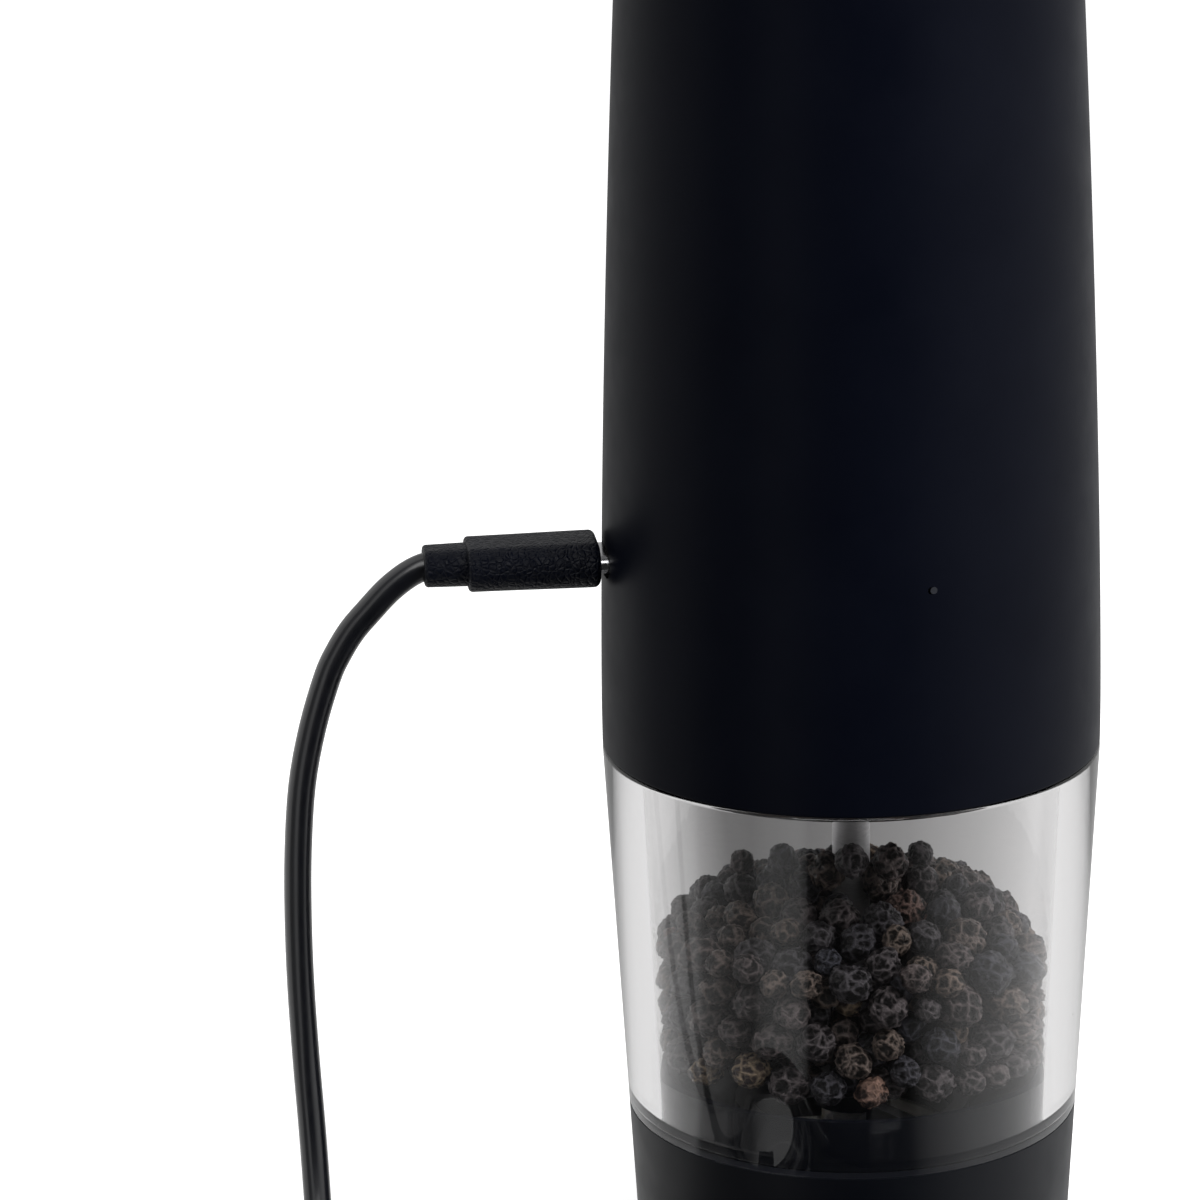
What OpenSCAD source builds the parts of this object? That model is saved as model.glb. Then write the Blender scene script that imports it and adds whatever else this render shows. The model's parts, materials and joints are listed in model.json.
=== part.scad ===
// Rechargeable pepper mill: a black motor unit on a thick clear jar, with a
// ceramic grinder in the foot and a charging lead plugged into its side.
// The origin is the middle of the foot on the table. The socket faces -X.

/* [Outer form] */
// Radius where the motor unit meets the jar
rim_r = 32.5; // [31.5:0.1:36]
// Height of that joint above the table
rim_z = 75; // [72:1:95]
// Height of the motor unit above the joint
body_h = 110; // [106:1:135]
// Radius of the motor unit at its crown
crown_r = 29; // [28:0.1:31]
// Radius of the foot on the table
foot_r = 28.3; // [27.5:0.1:30.5]
// Height above the joint where the motor unit is widest
bulge_h = 5; // [2:0.5:12]
// Rounding of the crown's edge
crown_fillet = 5; // [3:0.5:7]
// Wall of the moulded body
shell_wall = 2.2; // [1.8:0.1:2.6]
// Thickness of the crown round the button
crown_wall = 2.6; // [2:0.1:3.4]

/* [Jar] */
// Wall of the clear jar
jar_wall = 4.6; // [3.6:0.1:5.2]
// Height of the neck that the motor unit slips over
neck_h = 10; // [8:0.5:13]
// Clearance round the neck
neck_gap = 0.3; // [0.2:0.05:0.5]
// Height of the top of the heap of peppercorns below the joint
heap_drop = 14.3; // [11:0.1:20]
// Slope of the heap in degrees
heap_slope = 17; // [10:1:30]

/* [Button] */
// Radius of the push button
button_r = 11; // [8:0.5:13]
// Travel of the push button
button_travel = 1.5; // [0.8:0.1:2]
// Height of the button above the crown
button_rise = 2; // [1.8:0.1:3]

/* [Grinder] */
// Height of the black foot that carries the jar
base_h = 25; // [24:0.5:30]
// Radius of the steel drive shaft
shaft_r = 2.5; // [2:0.1:3]
// Outer radius of the ceramic ring
burr_ring_r = 14; // [13.2:0.1:15]
// Radius of the ceramic cone at its lower edge
burr_cone_r = 9.8; // [9:0.1:10.2]
// Gap between the ceramics at the coarsest setting
burr_gap = 0.6; // [0.5:0.05:0.9]
// Rise of the cone from coarse to fine
adjust_rise = 1.2; // [0.6:0.1:1.3]
// Number of fine teeth on the cone
cone_teeth = 20; // [12:1:24]
// Number of fine teeth in the ring
ring_teeth = 24; // [16:1:28]
// Radius of the adjusting dial
dial_r = 7; // [6:0.1:7.5]

/* [Drive] */
// Module of the planetary gears
gear_module = 0.5; // [0.45:0.01:0.52]
// Height of each row of planet gears
gear_face = 4.2; // [3.4:0.1:4.6]
// Radius of the motor's can
motor_r = 10.2; // [9.4:0.1:12]
// Length of the motor's can
motor_len = 30.8; // [26:0.2:32]
// Radius of the battery cell
cell_r = 7.1; // [6.5:0.1:7.2]
// Length of the battery cell
cell_len = 50; // [44:0.5:52]

/* [Socket and lead] */
// Height of the socket above the joint
port_h = 26; // [23:0.5:32]
// Gap between the plug's moulding and the body
plug_gap = 0.7; // [0.4:0.1:1.4]
// Width of the plug's moulding
plug_w = 11.2; // [10.4:0.1:12.4]
// Thickness of the plug's moulding
plug_t = 6; // [5:0.1:6.6]

/* [Hidden] */

// Clearances
run = 0.05; // running fit of a shaft or a guide
slip = 0.1; // parts of one unit that are assembled by hand
clear = 0.3; // parts that pass each other
screw_clear = 0.2;

// Heights of the motor unit, from the joint upward
crown_z = rim_z + body_h;
cover_gap = 0.5;
cover_z = rim_z + neck_h + cover_gap; // underside of the lower cover
cover_t = 3;
gear_z = cover_z + cover_t; // top of the cover, foot of the gear housing
port_z = rim_z + port_h;
bulge_power = 1.5;
side_steps = 16;

// Outer radius of the motor unit at a height above the joint
function body_r(h) = rim_r
    - (rim_r - crown_r) * pow(abs(h - bulge_h) / (body_h - bulge_h), bulge_power);
// Inner radius of the body's wall at a height above the table
function bore_r(z) = body_r(z - rim_z) - shell_wall;
// Outer radius of the jar and the foot at a height above the table
function lower_r(z) = foot_r + (rim_r - foot_r) * z / rim_z;

skirt_r = body_r(0) - shell_wall;
neck_r = skirt_r - neck_gap;
mouth_r = rim_r - jar_wall;
neck_edge = 0.5;

// Gear train: sun, planets and ring, the same in both rows
sun_n = 12;
planet_n = 15;
ring_n = sun_n + 2 * planet_n;
gear_backlash = 0.12;
pressure_angle = 20;
pin_r = 1.1;
centre_d = gear_module * (sun_n + planet_n) / 2;
journal_r = 7;
carrier_r = centre_d + 2.6;
carrier_t = 1.6;
housing_r = ring_n * gear_module / 2 + 2.3;
housing_floor = 2;
flange_gear_r = housing_r + 3.2;
carrier_rise = 0.4;
lower_row_z = gear_z + housing_floor + carrier_rise + carrier_t + clear;
upper_carrier_z = lower_row_z + gear_face + clear;
upper_row_z = upper_carrier_z + carrier_t + clear;
motor_seat = 0.8;
motor_z = upper_row_z + gear_face + motor_seat + clear;
motor_top = motor_z + motor_len;
can_wall = 0.8;
magnet_t = 2.3;
air_gap = 0.5;
armature_r = motor_r - can_wall - slip - magnet_t - air_gap;
motor_shaft_r = 1;
magnet_rise = 5;
magnet_room = 9; // above the magnets, for the brushes
stack_rise = 7;
stack_room = 10.8; // above the armature, for windings, commutator and brushes
stack_h = motor_len - stack_rise - stack_room;
winding_t = 2.4;
commutator_r = 2.6;
commutator_h = 3.2;
end_cap_t = 1.6;
end_cap_rise = 3;
bush_r = 3.2;
bush_h = 2;
tab_at = 6.2;
tab_w = 2.4;
tab_t = 0.6;
tab_h = 4;
pole_gap = 1.6;
winding_inset = 1.4;
pinion_floor = 0.2;
shaft_stub = 0.4;

// Lower cover: its screws, the bosses they go into, and the seal in the neck
boss_at = 21.5;
boss_r = 3;
boss_h = 11;
screw_r = 1.2;
screw_head_r = 2.4;
screw_head_t = 1.6;
screw_len = 9;
seal_wire = 0.95;
seal_r = mouth_r - run - seal_wire;
seal_drop = 3.6;
seal_z = cover_z - seal_drop;
plug_ring_gap = 0.35;
plug_ring_t = 3;
plug_ring_drop = 7;

// Coupling between the shaft and the gearbox
hex_r = 3; // across the corners, halved
hex_clear = 0.15;
nose_r = 5.4;
nose_drop = 4;
hex_rise = 2.4;
hex_top = gear_z + hex_rise;
hex_drop = 3; // length of the hexagon below the nose

// Frame that holds motor, cell and boards
deck_drop = 24;
deck_z = crown_z - deck_drop;
deck_t = 2;
ring_low_rise = 18;
ring_low_z = gear_z + ring_low_rise;
ring_high_z = motor_top - end_cap_rise;
ring_t = 2.6;
rib_t = 2;
rib_gap = 1;
post_h = 2;
post_at = 11;
post_r = 2.2;
pilot_r = 0.9;
switch_board_r = 14;
switch_board_z = deck_z + deck_t + post_h;
board_t = 1.6;
switch_h = 3.5;
switch_size = 6;
knob_r = 1.75;
knob_h = 1.6;
shelf_t = 1.2; // shelf that the cell stands on
cell_z = ring_low_z + shelf_t + slip;
cell_gap = 1.2; // between the cell and the body's wall
cell_x = bore_r(cell_z + cell_len) - cell_gap - cell_r;
cell_tip_r = 2.6;
cell_tip_h = 1;

// Button
button_top = crown_z + button_rise;
flange_t = 1.4;
flange_z = crown_z - crown_wall - clear - flange_t;
flange_lip = 1.8;
flange_r = button_r + flange_lip;
plunger_top = switch_board_z + board_t + switch_h + knob_h;
stem_r = 2.6;
stem_collar = 1.4;
stem_collar_t = 1.2;
button_edge = 1;
button_dome = 0.3;
spring_r = 5.4;
spring_wire = 0.8;

// Socket
socket_w = 8.94;
socket_h = 3.26;
socket_wall = 0.3;
socket_len = 9.3;
socket_inset = 0.9;
tongue_w = 6.6;
tongue_t = 0.7;
mouth_x = -(body_r(port_h) - socket_inset);
board_x = mouth_x + socket_len;
board_w = 20;
board_rise = 2;
board_z = gear_z + board_rise;
board_h = 46;
board_margin = 1;
cavity_depth = 6.2;
metal_w = 8.25;
metal_t = 2.4;
metal_len = 6.65;
metal_wall = 0.3;
metal_floor = 0.45;
tongue_inset = 0.6;
plug_face = -(body_r(port_h) + plug_gap);
plug_len = 17;
relief_t = 5;
relief_w = 7.4;
relief_len = 5.5;

// Indicator on the front of the body
lamp_angle = -80;
lamp_rise = 29.2;
lamp_z = rim_z + lamp_rise;
lamp_r = 0.45;
lamp_gap = 0.9; // between the guide's collar and the body's wall
lamp_collar_r = 1.4;
lamp_collar_t = 1;
led_w = 1.6;
led_t = 1;
led_h = 0.9;
lamp_board_t = 1;
lamp_board_w = 5.2;
lamp_board_h = 7;
lamp_board_drop = 4; // board's lower edge below the lamp
lamp_ledge = 2.8;
lamp_ledge_t = 1.2;
lamp_collar_at = bore_r(lamp_z) - lamp_gap - lamp_collar_t;
lamp_seat_r = lamp_collar_at - slip - led_h - lamp_board_t;

// Grinder heights, from the table upward
adjust_gap = adjust_rise + 0.2;
dial_z = 0.6;
dial_t = 1.6;
spider_z = dial_z + dial_t + adjust_gap;
spider_t = 2.8;
stem_dial_r = 3.6;
stem_top = spider_z + spider_t + 0.4;
cup_t = 1.8;
cup_floor = 0.7;
cup_wall = 1.4;
cone_z = stem_top + cup_t + 0.4;
mill_zone = 4;
cone_h = 12;
cone_top_r = burr_cone_r - 5;
cone_slope = 0.3;
ring_h = 12.4;
ring_z = cone_z - 0.2;
seat_wall = 2;
tube_r = burr_ring_r + seat_wall;
skin = 2.2;
foot_bore_r = foot_r - skin;
foot_edge = 0.6;
lip_w = 0.8; // lip over the ceramic ring
lip_t = 2.5;
bridge_rim = 1.6;
bridge_arm_w = 2.8;
plate_t = 1.6;
collar_h = 7;
spring_room = 4.4;
guide_z = cone_z + cone_h + spring_room;
guide_wall = 2;
wall_slack = 0.6; // the guide's ring is this much smaller than the bore's wall
guide_hub_wall = 2.4;
guide_hub_h = 3.4;
guide_ring_h = 2.6;

// Heap of peppercorns
heap_gap = 0.5;
hub_room = 7;
corn_step = 4.4;
corn_dip = 1.6;

// Charging lead: the route of its centreline is chosen by hand
cord_d = 3.6;
cord_start = [plug_face - plug_len - relief_len, 0, port_z];
ROUTE = [[-57.5, 0, 99.9], [-60, 0, 98], [-62.5, 0, 95.4], [-64.8, 0, 92.8],
    [-66.7, 0, 89.8], [-68.2, 0, 86.6], [-70.3, 0, 79.9], [-71.9, 0, 72.2],
    [-72.7, 0, 63.3], [-73, 0, 54.5], [-73, -0.4, 45], [-72.7, -1.5, 35],
    [-72.3, -3.8, 25.5], [-72.1, -7.6, 17], [-72.1, -13, 9.6],
    [-72.2, -19, 4.6], [-72.3, -25, 2.4], [-72.4, -31, 1.8], [-72.4, -37, 1.8],
    [-72.4, -42, 1.8]];
coil_at = [-48.8, -50, 0];
coil_outer_r = 23.6; // centreline of the outermost turn
coil_inner_r = 15.6; // centreline of the innermost turn
coil_layers = 2;
TAIL = [[-44.8, -72.4, 5.4], [-40.8, -72.5, 5.3], [-36.8, -72.6, 5], [-32.8, -72.7, 4.4],
    [-28.8, -72.7, 4], [-25, -72.7, 4]];
tail_end = TAIL[len(TAIL) - 1];
usb_a_w = 15.6;
usb_a_t = 8;
usb_a_len = 24;
usb_a_metal_w = 12;
usb_a_metal_t = 4.5;
usb_a_metal_len = 14.5;

fine = 96;
small = 40;

// ---------- shared shapes ----------

// A ring of the given radii between two heights
module tube(outer, inner, z0, z1) {
    translate([0, 0, z0]) difference() {
        cylinder(r = outer, h = z1 - z0, $fn = fine);
        translate([0, 0, -1]) cylinder(r = inner, h = z1 - z0 + 2, $fn = fine);
    }
}

// A plate with fully rounded ends, its length along X and extruded along Z
module slot_bar(w, t, len) {
    linear_extrude(len) slot_outline(w, t);
}

module slot_outline(w, t) {
    square([w - t, t], center = true);
    for (side = [-1, 1]) translate([side * (w - t) / 2, 0]) circle(d = t, $fn = small);
}

// A compression spring: a wire of six sides wound on a helix
module coil_spring(r, wire, len, turns) {
    sides = 6;
    steps = 14 * turns;
    lift = len - wire;
    points = [for (i = [0:steps], j = [0:sides - 1])
        let (turn = 360 * turns * i / steps, a = 360 * j / sides,
            d = r + wire / 2 * cos(a))
        [d * cos(turn), d * sin(turn), wire / 2 + lift * i / steps + wire / 2 * sin(a)]];
    walls = [for (i = [0:steps - 1], j = [0:sides - 1])
        let (k = (j + 1) % sides)
        [i * sides + j, (i + 1) * sides + j, (i + 1) * sides + k, i * sides + k]];
    polyhedron(points, concat([[for (j = [0:sides - 1]) j]], walls,
        [[for (j = [sides - 1:-1:0]) steps * sides + j]]), convexity = 8);
}

// ---------- gears ----------

function involute(a) = tan(a) * 180 / PI - a;
// Half the angle of a tooth at radius r, for teeth thinned by the backlash
function tooth_half(n, r, thin) =
    let (pitch_r = n * gear_module / 2,
        base_r = pitch_r * cos(pressure_angle),
        at = acos(min(1, base_r / max(r, base_r))))
    90 / n - thin / 2 / pitch_r * 180 / PI + involute(pressure_angle) - involute(at);
function gear_points(n, tip, root, thin) =
    [for (i = [0:n - 1], corner = [[root, -1], [tip, -1], [tip, 1], [root, 1]])
        let (a = 360 * i / n + corner[1] * tooth_half(n, corner[0], thin))
        [corner[0] * cos(a), corner[0] * sin(a)]];

module gear_outline(n) {
    pitch_r = n * gear_module / 2;
    polygon(gear_points(n, pitch_r + 0.9 * gear_module,
        pitch_r - 1.15 * gear_module, gear_backlash));
}

// One planet at its place round the sun, turned so that it is in mesh
module planet(index, z) {
    at = 120 * index;
    mesh = at + 180 - 180 / planet_n + at * sun_n / planet_n;
    rotate([0, 0, at]) translate([centre_d, 0, z]) rotate([0, 0, mesh - at])
        difference() {
            linear_extrude(gear_face) gear_outline(planet_n);
            translate([0, 0, -1]) cylinder(r = pin_r + run, h = gear_face + 2, $fn = small);
        }
}

// Three pins that the planets turn on
module planet_pins(z) {
    for (i = [0:2]) rotate([0, 0, 120 * i]) translate([centre_d, 0, z])
        cylinder(r = pin_r, h = gear_face + 0.1, $fn = small);
}

// ---------- motor unit ----------

// Half outline of the body: the outer side, the rounded crown, the bore
function body_side() = [for (i = [0:side_steps])
    let (h = (body_h - crown_fillet) * i / side_steps) [body_r(h), rim_z + h]];
function crown_arc(r, inset) = [for (a = [10:10:90])
    [body_r(body_h - crown_fillet) - inset - r + r * cos(a),
        crown_z - inset - r + r * sin(a)]];
function bore_side() = [for (i = [side_steps:-1:0])
    let (h = (body_h - crown_fillet) * i / side_steps) [body_r(h) - shell_wall, rim_z + h]];

module body_shell() {
    color([0.05, 0.055, 0.065]) difference() {
        union() {
            rotate_extrude($fn = fine) polygon(concat(
                body_side(), crown_arc(crown_fillet, 0),
                [[button_r + run, crown_z], [button_r + run, crown_z - crown_wall],
                    [bore_r(crown_z - crown_fillet) - 2, crown_z - crown_wall]],
                bore_side()));
            for (side = [-1, 1]) shell_boss(side);
        }
        translate([-rim_r - 1, 0, port_z]) rotate([90, 0, 90])
            slot_bar(socket_w + 2 * clear, socket_h + 2 * clear, 6);
        rotate([0, 0, lamp_angle]) translate([rim_r - 8, 0, lamp_z]) rotate([0, 90, 0])
            cylinder(r = lamp_r + run, h = 10, $fn = small);
        for (side = [-1, 1]) translate([0, side * boss_at, gear_z])
            cylinder(r = screw_r, h = boss_h - 2, $fn = small);
    }
}

// A screw boss joined to the wall by a web
module shell_boss(side) {
    translate([0, side * boss_at, gear_z + slip]) {
        cylinder(r = boss_r, h = boss_h, $fn = small);
        translate([-1, side > 0 ? 0 : -(bore_r(gear_z) + 0.8 - boss_at), 0])
            cube([2, bore_r(gear_z) + 0.8 - boss_at, boss_h]);
    }
}

module push_button() {
    plunger_low = plunger_top + button_travel + slip;
    color([0.07, 0.075, 0.085]) {
        rotate_extrude($fn = fine) polygon(concat(
            [[0, flange_z - stem_collar_t], [stem_r + stem_collar, flange_z - stem_collar_t],
                [stem_r + stem_collar, flange_z], [flange_r, flange_z],
                [flange_r, flange_z + flange_t], [button_r, flange_z + flange_t]],
            [for (a = [0:15:90]) [button_r + button_edge * (cos(a) - 1),
                button_top - button_dome + button_edge * (sin(a) - 1)]],
            [[button_r * 0.6, button_top - button_dome / 3], [0, button_top]]));
        translate([0, 0, plunger_low])
            cylinder(r = stem_r, h = flange_z - stem_collar_t / 2 - plunger_low, $fn = small);
    }
}

module button_spring() {
    color([0.7, 0.7, 0.72]) translate([0, 0, switch_board_z + board_t])
        coil_spring(spring_r, spring_wire, flange_z - switch_board_z - board_t, 5);
}

module button_switch() {
    color([0.15, 0.15, 0.16]) translate([0, 0, switch_board_z + board_t]) {
        translate([-switch_size / 2, -switch_size / 2, 0])
            cube([switch_size, switch_size, switch_h]);
        cylinder(r = knob_r, h = switch_h + knob_h, $fn = small);
    }
}

module button_board() {
    color([0.05, 0.25, 0.12]) translate([0, 0, switch_board_z]) difference() {
        cylinder(r = switch_board_r, h = board_t, $fn = fine);
        for (i = [0:3]) rotate([0, 0, 45 + 90 * i]) translate([post_at, 0, -1])
            cylinder(r = screw_r, h = board_t + 2, $fn = small);
    }
}

// A disc that follows the inside of the body, with the boards' and cell's room cut out
module frame_disc(z, t, hole_r) {
    difference() {
        translate([0, 0, z]) cylinder(r = bore_r(z + t) - clear, h = t, $fn = fine);
        if (hole_r > 0) translate([0, 0, z - 1]) cylinder(r = hole_r, h = t + 2, $fn = fine);
        translate([-rim_r, -board_w / 2 - board_margin, z - 1])
            cube([rim_r + board_x + board_t + board_margin / 2, board_w + 2 * board_margin, t + 2]);
    }
}

module inner_frame() {
    color([0.75, 0.75, 0.72]) difference() {
        union() {
            frame_disc(ring_low_z, ring_t, housing_r + clear);
            frame_disc(ring_high_z, ring_t, motor_r + slip);
            frame_disc(deck_z, deck_t, 0);
            for (a = [60, 120, 240, 300]) frame_rib(a);
            for (i = [0:3]) rotate([0, 0, 45 + 90 * i]) translate([post_at, 0, deck_z])
                cylinder(r = post_r, h = deck_t + post_h, $fn = small);
        }
        translate([cell_x, 0, ring_low_z + shelf_t])
            cylinder(r = cell_r + slip, h = cell_len + 1, $fn = fine);
        for (i = [0:3]) rotate([0, 0, 45 + 90 * i]) translate([post_at, 0, deck_z - 1])
            cylinder(r = pilot_r, h = deck_t + post_h + 2, $fn = small);
        rotate([0, 0, lamp_angle])
            translate([lamp_seat_r - lamp_ledge - slip, -lamp_board_w / 2 - clear, ring_low_z - 1])
            cube([rim_r, lamp_board_w + 2 * clear, ring_t + 2]);
    }
}

// An upright rib from the gearbox's height up to the deck
module frame_rib(a) {
    low = gear_z + slip;
    inner = max(motor_r, housing_r) + rib_gap;
    difference() {
        rotate([0, 0, a]) translate([inner, -rib_t / 2, low])
            cube([bore_r(deck_z + 2 * deck_t) - rib_gap - inner, rib_t, deck_z + deck_t / 2 - low]);
        translate([0, 0, low - 1])
            cylinder(r = flange_gear_r + slip, h = housing_floor + slip + 1, $fn = fine);
    }
}

module battery_cell() {
    color([0.12, 0.3, 0.55]) translate([cell_x, 0, cell_z]) {
        cylinder(r = cell_r, h = cell_len - cell_tip_h, $fn = fine);
        cylinder(r = cell_tip_r, h = cell_len, $fn = small);
    }
}

module control_board() {
    color([0.05, 0.25, 0.12]) difference() {
        translate([board_x, -board_w / 2, board_z]) cube([board_t, board_w, board_h]);
        for (z = [board_z + 2 * screw_head_r, board_z + board_h - 2 * screw_head_r])
            translate([board_x - 1, board_w / 2 - screw_head_r, z]) rotate([0, 90, 0])
                cylinder(r = screw_r, h = board_t + 2, $fn = small);
    }
}

// Charger chip, driver, inductor and terminals on the board's outer face
module board_chips() {
    color([0.1, 0.1, 0.1]) {
        // place and size as shares of the board: across, up, width, height, thickness
        for (c = [[-0.35, 0.4, 0.2, 0.09, 0.05], [0.1, 0.44, 0.25, 0.13, 0.07],
            [-0.3, 0.59, 0.3, 0.13, 0.13], [0.15, 0.65, 0.15, 0.11, 0.05],
            [-0.25, 0.78, 0.4, 0.11, 0.11], [-0.4, 0.06, 0.15, 0.045, 0.04]])
            translate([board_x - c[4] * board_w, c[0] * board_w, board_z + c[1] * board_h])
                cube([c[4] * board_w, c[2] * board_w, c[3] * board_h]);
    }
}

module usb_socket() {
    color([0.72, 0.72, 0.74]) {
        difference() {
            translate([mouth_x, 0, port_z]) rotate([90, 0, 90])
                slot_bar(socket_w, socket_h, socket_len);
            translate([mouth_x - 1, 0, port_z]) rotate([90, 0, 90])
                slot_bar(socket_w - 2 * socket_wall, socket_h - 2 * socket_wall, cavity_depth + 1);
        }
        translate([mouth_x + tongue_inset, -tongue_w / 2, port_z - tongue_t / 2])
            cube([cavity_depth, tongue_w, tongue_t]);
    }
}

module light_guide() {
    collar_top = lamp_collar_at + lamp_collar_t;
    color([0.85, 0.88, 0.9]) rotate([0, 0, lamp_angle]) translate([0, 0, lamp_z])
        rotate([0, 90, 0]) {
            translate([0, 0, lamp_collar_at + lamp_collar_t / 2])
                cylinder(r = lamp_r, h = body_r(lamp_rise) - collar_top + lamp_collar_t / 2, $fn = small);
            translate([0, 0, lamp_collar_at]) cylinder(r = lamp_collar_r, h = lamp_collar_t, $fn = small);
        }
}

module indicator_board() {
    low_z = lamp_z - lamp_board_drop;
    color([0.05, 0.25, 0.12]) rotate([0, 0, lamp_angle]) {
        translate([lamp_seat_r, -lamp_board_w / 2, low_z])
            cube([lamp_board_t, lamp_board_w, lamp_board_h]);
        translate([lamp_seat_r + lamp_board_t, -led_w / 2, lamp_z - led_t / 2])
            cube([led_h, led_w, led_t]);
        translate([lamp_seat_r - lamp_ledge, -lamp_board_w / 2, low_z])
            cube([lamp_ledge, lamp_board_w, lamp_ledge_t]);
    }
}

// ---------- motor ----------

module motor_can() {
    color([0.7, 0.7, 0.7]) {
        tube(motor_r, motor_r - can_wall, motor_z, motor_top - end_cap_rise);
        tube(motor_r - can_wall, motor_shaft_r + run, motor_z, motor_z + can_wall);
        tube(bush_r, motor_shaft_r + run, motor_z + can_wall, motor_z + can_wall + bush_h);
    }
}

module motor_magnets() {
    inner = armature_r + air_gap;
    color([0.25, 0.25, 0.27]) for (side = [0, 180]) rotate([0, 0, side - 70])
        translate([0, 0, motor_z + magnet_rise]) rotate_extrude(angle = 140, $fn = fine)
            translate([inner, 0]) square([magnet_t, motor_len - magnet_rise - magnet_room]);
}

module motor_end_cap() {
    cap_z = motor_top - end_cap_rise;
    color([0.9, 0.9, 0.88]) {
        tube(motor_r - can_wall - run, motor_shaft_r + run, cap_z, cap_z + end_cap_t);
        tube(bush_r, motor_shaft_r + run, cap_z + end_cap_t, cap_z + end_cap_t + bush_h);
        for (side = [-1, 1]) translate([side * tab_at - tab_w / 2, -tab_t / 2, cap_z + end_cap_t])
            cube([tab_w, tab_t, tab_h]);
    }
}

// Three-pole armature with its windings, commutator and shaft
module motor_armature() {
    stack_z = motor_z + stack_rise;
    shaft_low = upper_row_z + pinion_floor;
    color([0.65, 0.4, 0.25]) {
        difference() {
            translate([0, 0, stack_z]) cylinder(r = armature_r, h = stack_h, $fn = fine);
            for (i = [0:2]) rotate([0, 0, 60 + 120 * i])
                translate([armature_r / 2, -pole_gap / 2, stack_z - 1])
                cube([armature_r, pole_gap, stack_h + 2]);
        }
        for (z = [stack_z - winding_t, stack_z + stack_h]) translate([0, 0, z])
            cylinder(r = armature_r - winding_inset, h = winding_t, $fn = fine);
        translate([0, 0, stack_z + stack_h + winding_t])
            cylinder(r = commutator_r, h = commutator_h, $fn = small);
        translate([0, 0, shaft_low])
            cylinder(r = motor_shaft_r, h = motor_top + shaft_stub - shaft_low, $fn = small);
    }
}

module sun_pinion() {
    color([0.8, 0.65, 0.3]) translate([0, 0, upper_row_z]) difference() {
        linear_extrude(gear_face) gear_outline(sun_n);
        translate([0, 0, pinion_floor]) cylinder(r = motor_shaft_r, h = gear_face, $fn = small);
    }
}

// ---------- gearbox ----------

module gear_housing() {
    top = motor_z - 0.05;
    plate = 0.7;
    color([0.85, 0.84, 0.8]) difference() {
        union() {
            translate([0, 0, gear_z]) cylinder(r = housing_r, h = top - gear_z, $fn = fine);
            translate([0, 0, gear_z]) cylinder(r = flange_gear_r, h = housing_floor, $fn = fine);
        }
        translate([0, 0, gear_z - 1]) cylinder(r = journal_r + run, h = 4, $fn = fine);
        translate([0, 0, gear_z + housing_floor])
            linear_extrude(top - plate - gear_z - housing_floor)
            polygon(gear_points(ring_n, ring_n * gear_module / 2 + 1.15 * gear_module,
                ring_n * gear_module / 2 - 0.75 * gear_module, -gear_backlash));
        translate([0, 0, top - plate - 1]) cylinder(r = 4, h = plate + 2, $fn = small);
    }
}

module planet_upper_1() { color([0.93, 0.93, 0.9]) planet(0, upper_row_z); }
module planet_upper_2() { color([0.93, 0.93, 0.9]) planet(1, upper_row_z); }
module planet_upper_3() { color([0.93, 0.93, 0.9]) planet(2, upper_row_z); }
module planet_lower_1() { color([0.93, 0.93, 0.9]) planet(0, lower_row_z); }
module planet_lower_2() { color([0.93, 0.93, 0.9]) planet(1, lower_row_z); }
module planet_lower_3() { color([0.93, 0.93, 0.9]) planet(2, lower_row_z); }

// Carrier of the upper row, with the sun of the lower row below it
module upper_carrier() {
    color([0.8, 0.8, 0.78]) {
        translate([0, 0, upper_carrier_z]) cylinder(r = carrier_r, h = carrier_t, $fn = fine);
        planet_pins(upper_carrier_z + carrier_t);
        translate([0, 0, lower_row_z]) linear_extrude(gear_face + clear) gear_outline(sun_n);
    }
}

// Carrier of the lower row, with the hexagonal socket for the drive shaft
module output_carrier() {
    disc_z = gear_z + housing_floor + carrier_rise;
    color([0.8, 0.8, 0.78]) difference() {
        union() {
            translate([0, 0, disc_z]) cylinder(r = carrier_r, h = carrier_t, $fn = fine);
            planet_pins(disc_z + carrier_t);
            translate([0, 0, gear_z + slip])
                cylinder(r = journal_r, h = housing_floor + carrier_rise, $fn = fine);
            translate([0, 0, cover_z - nose_drop])
                cylinder(r = nose_r, h = gear_z - cover_z + nose_drop + 1, $fn = fine);
        }
        translate([0, 0, cover_z - nose_drop - 1])
            cylinder(r = hex_r + hex_clear, h = hex_top + 0.5 - cover_z + nose_drop + 1, $fn = 6);
    }
}

// Lower cover of the motor unit, with the ring that plugs into the jar's neck
module lower_cover() {
    plug_r = mouth_r - plug_ring_gap;
    color([0.09, 0.09, 0.1]) difference() {
        union() {
            translate([0, 0, cover_z])
                cylinder(r = bore_r(cover_z) - slip, h = cover_t, $fn = fine);
            tube(plug_r, plug_r - plug_ring_t, cover_z - plug_ring_drop, cover_z + cover_t / 3);
        }
        tube(plug_r + 1, seal_r - seal_wire - run, seal_z - seal_wire - run, seal_z + seal_wire + run);
        translate([0, 0, cover_z - 1]) cylinder(r = nose_r + run, h = cover_t + 2, $fn = fine);
        for (side = [-1, 1]) translate([0, side * boss_at, cover_z - 1]) {
            cylinder(r = screw_r + screw_clear, h = cover_t + 2, $fn = small);
            cylinder(r = screw_head_r + screw_clear, h = screw_head_t + 1, $fn = small);
        }
    }
}

module cover_screws() {
    color([0.6, 0.6, 0.62]) for (side = [-1, 1]) translate([0, side * boss_at, cover_z]) {
        cylinder(r = screw_head_r, h = screw_head_t, $fn = small);
        cylinder(r = screw_r, h = screw_len, $fn = small);
    }
}

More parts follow.
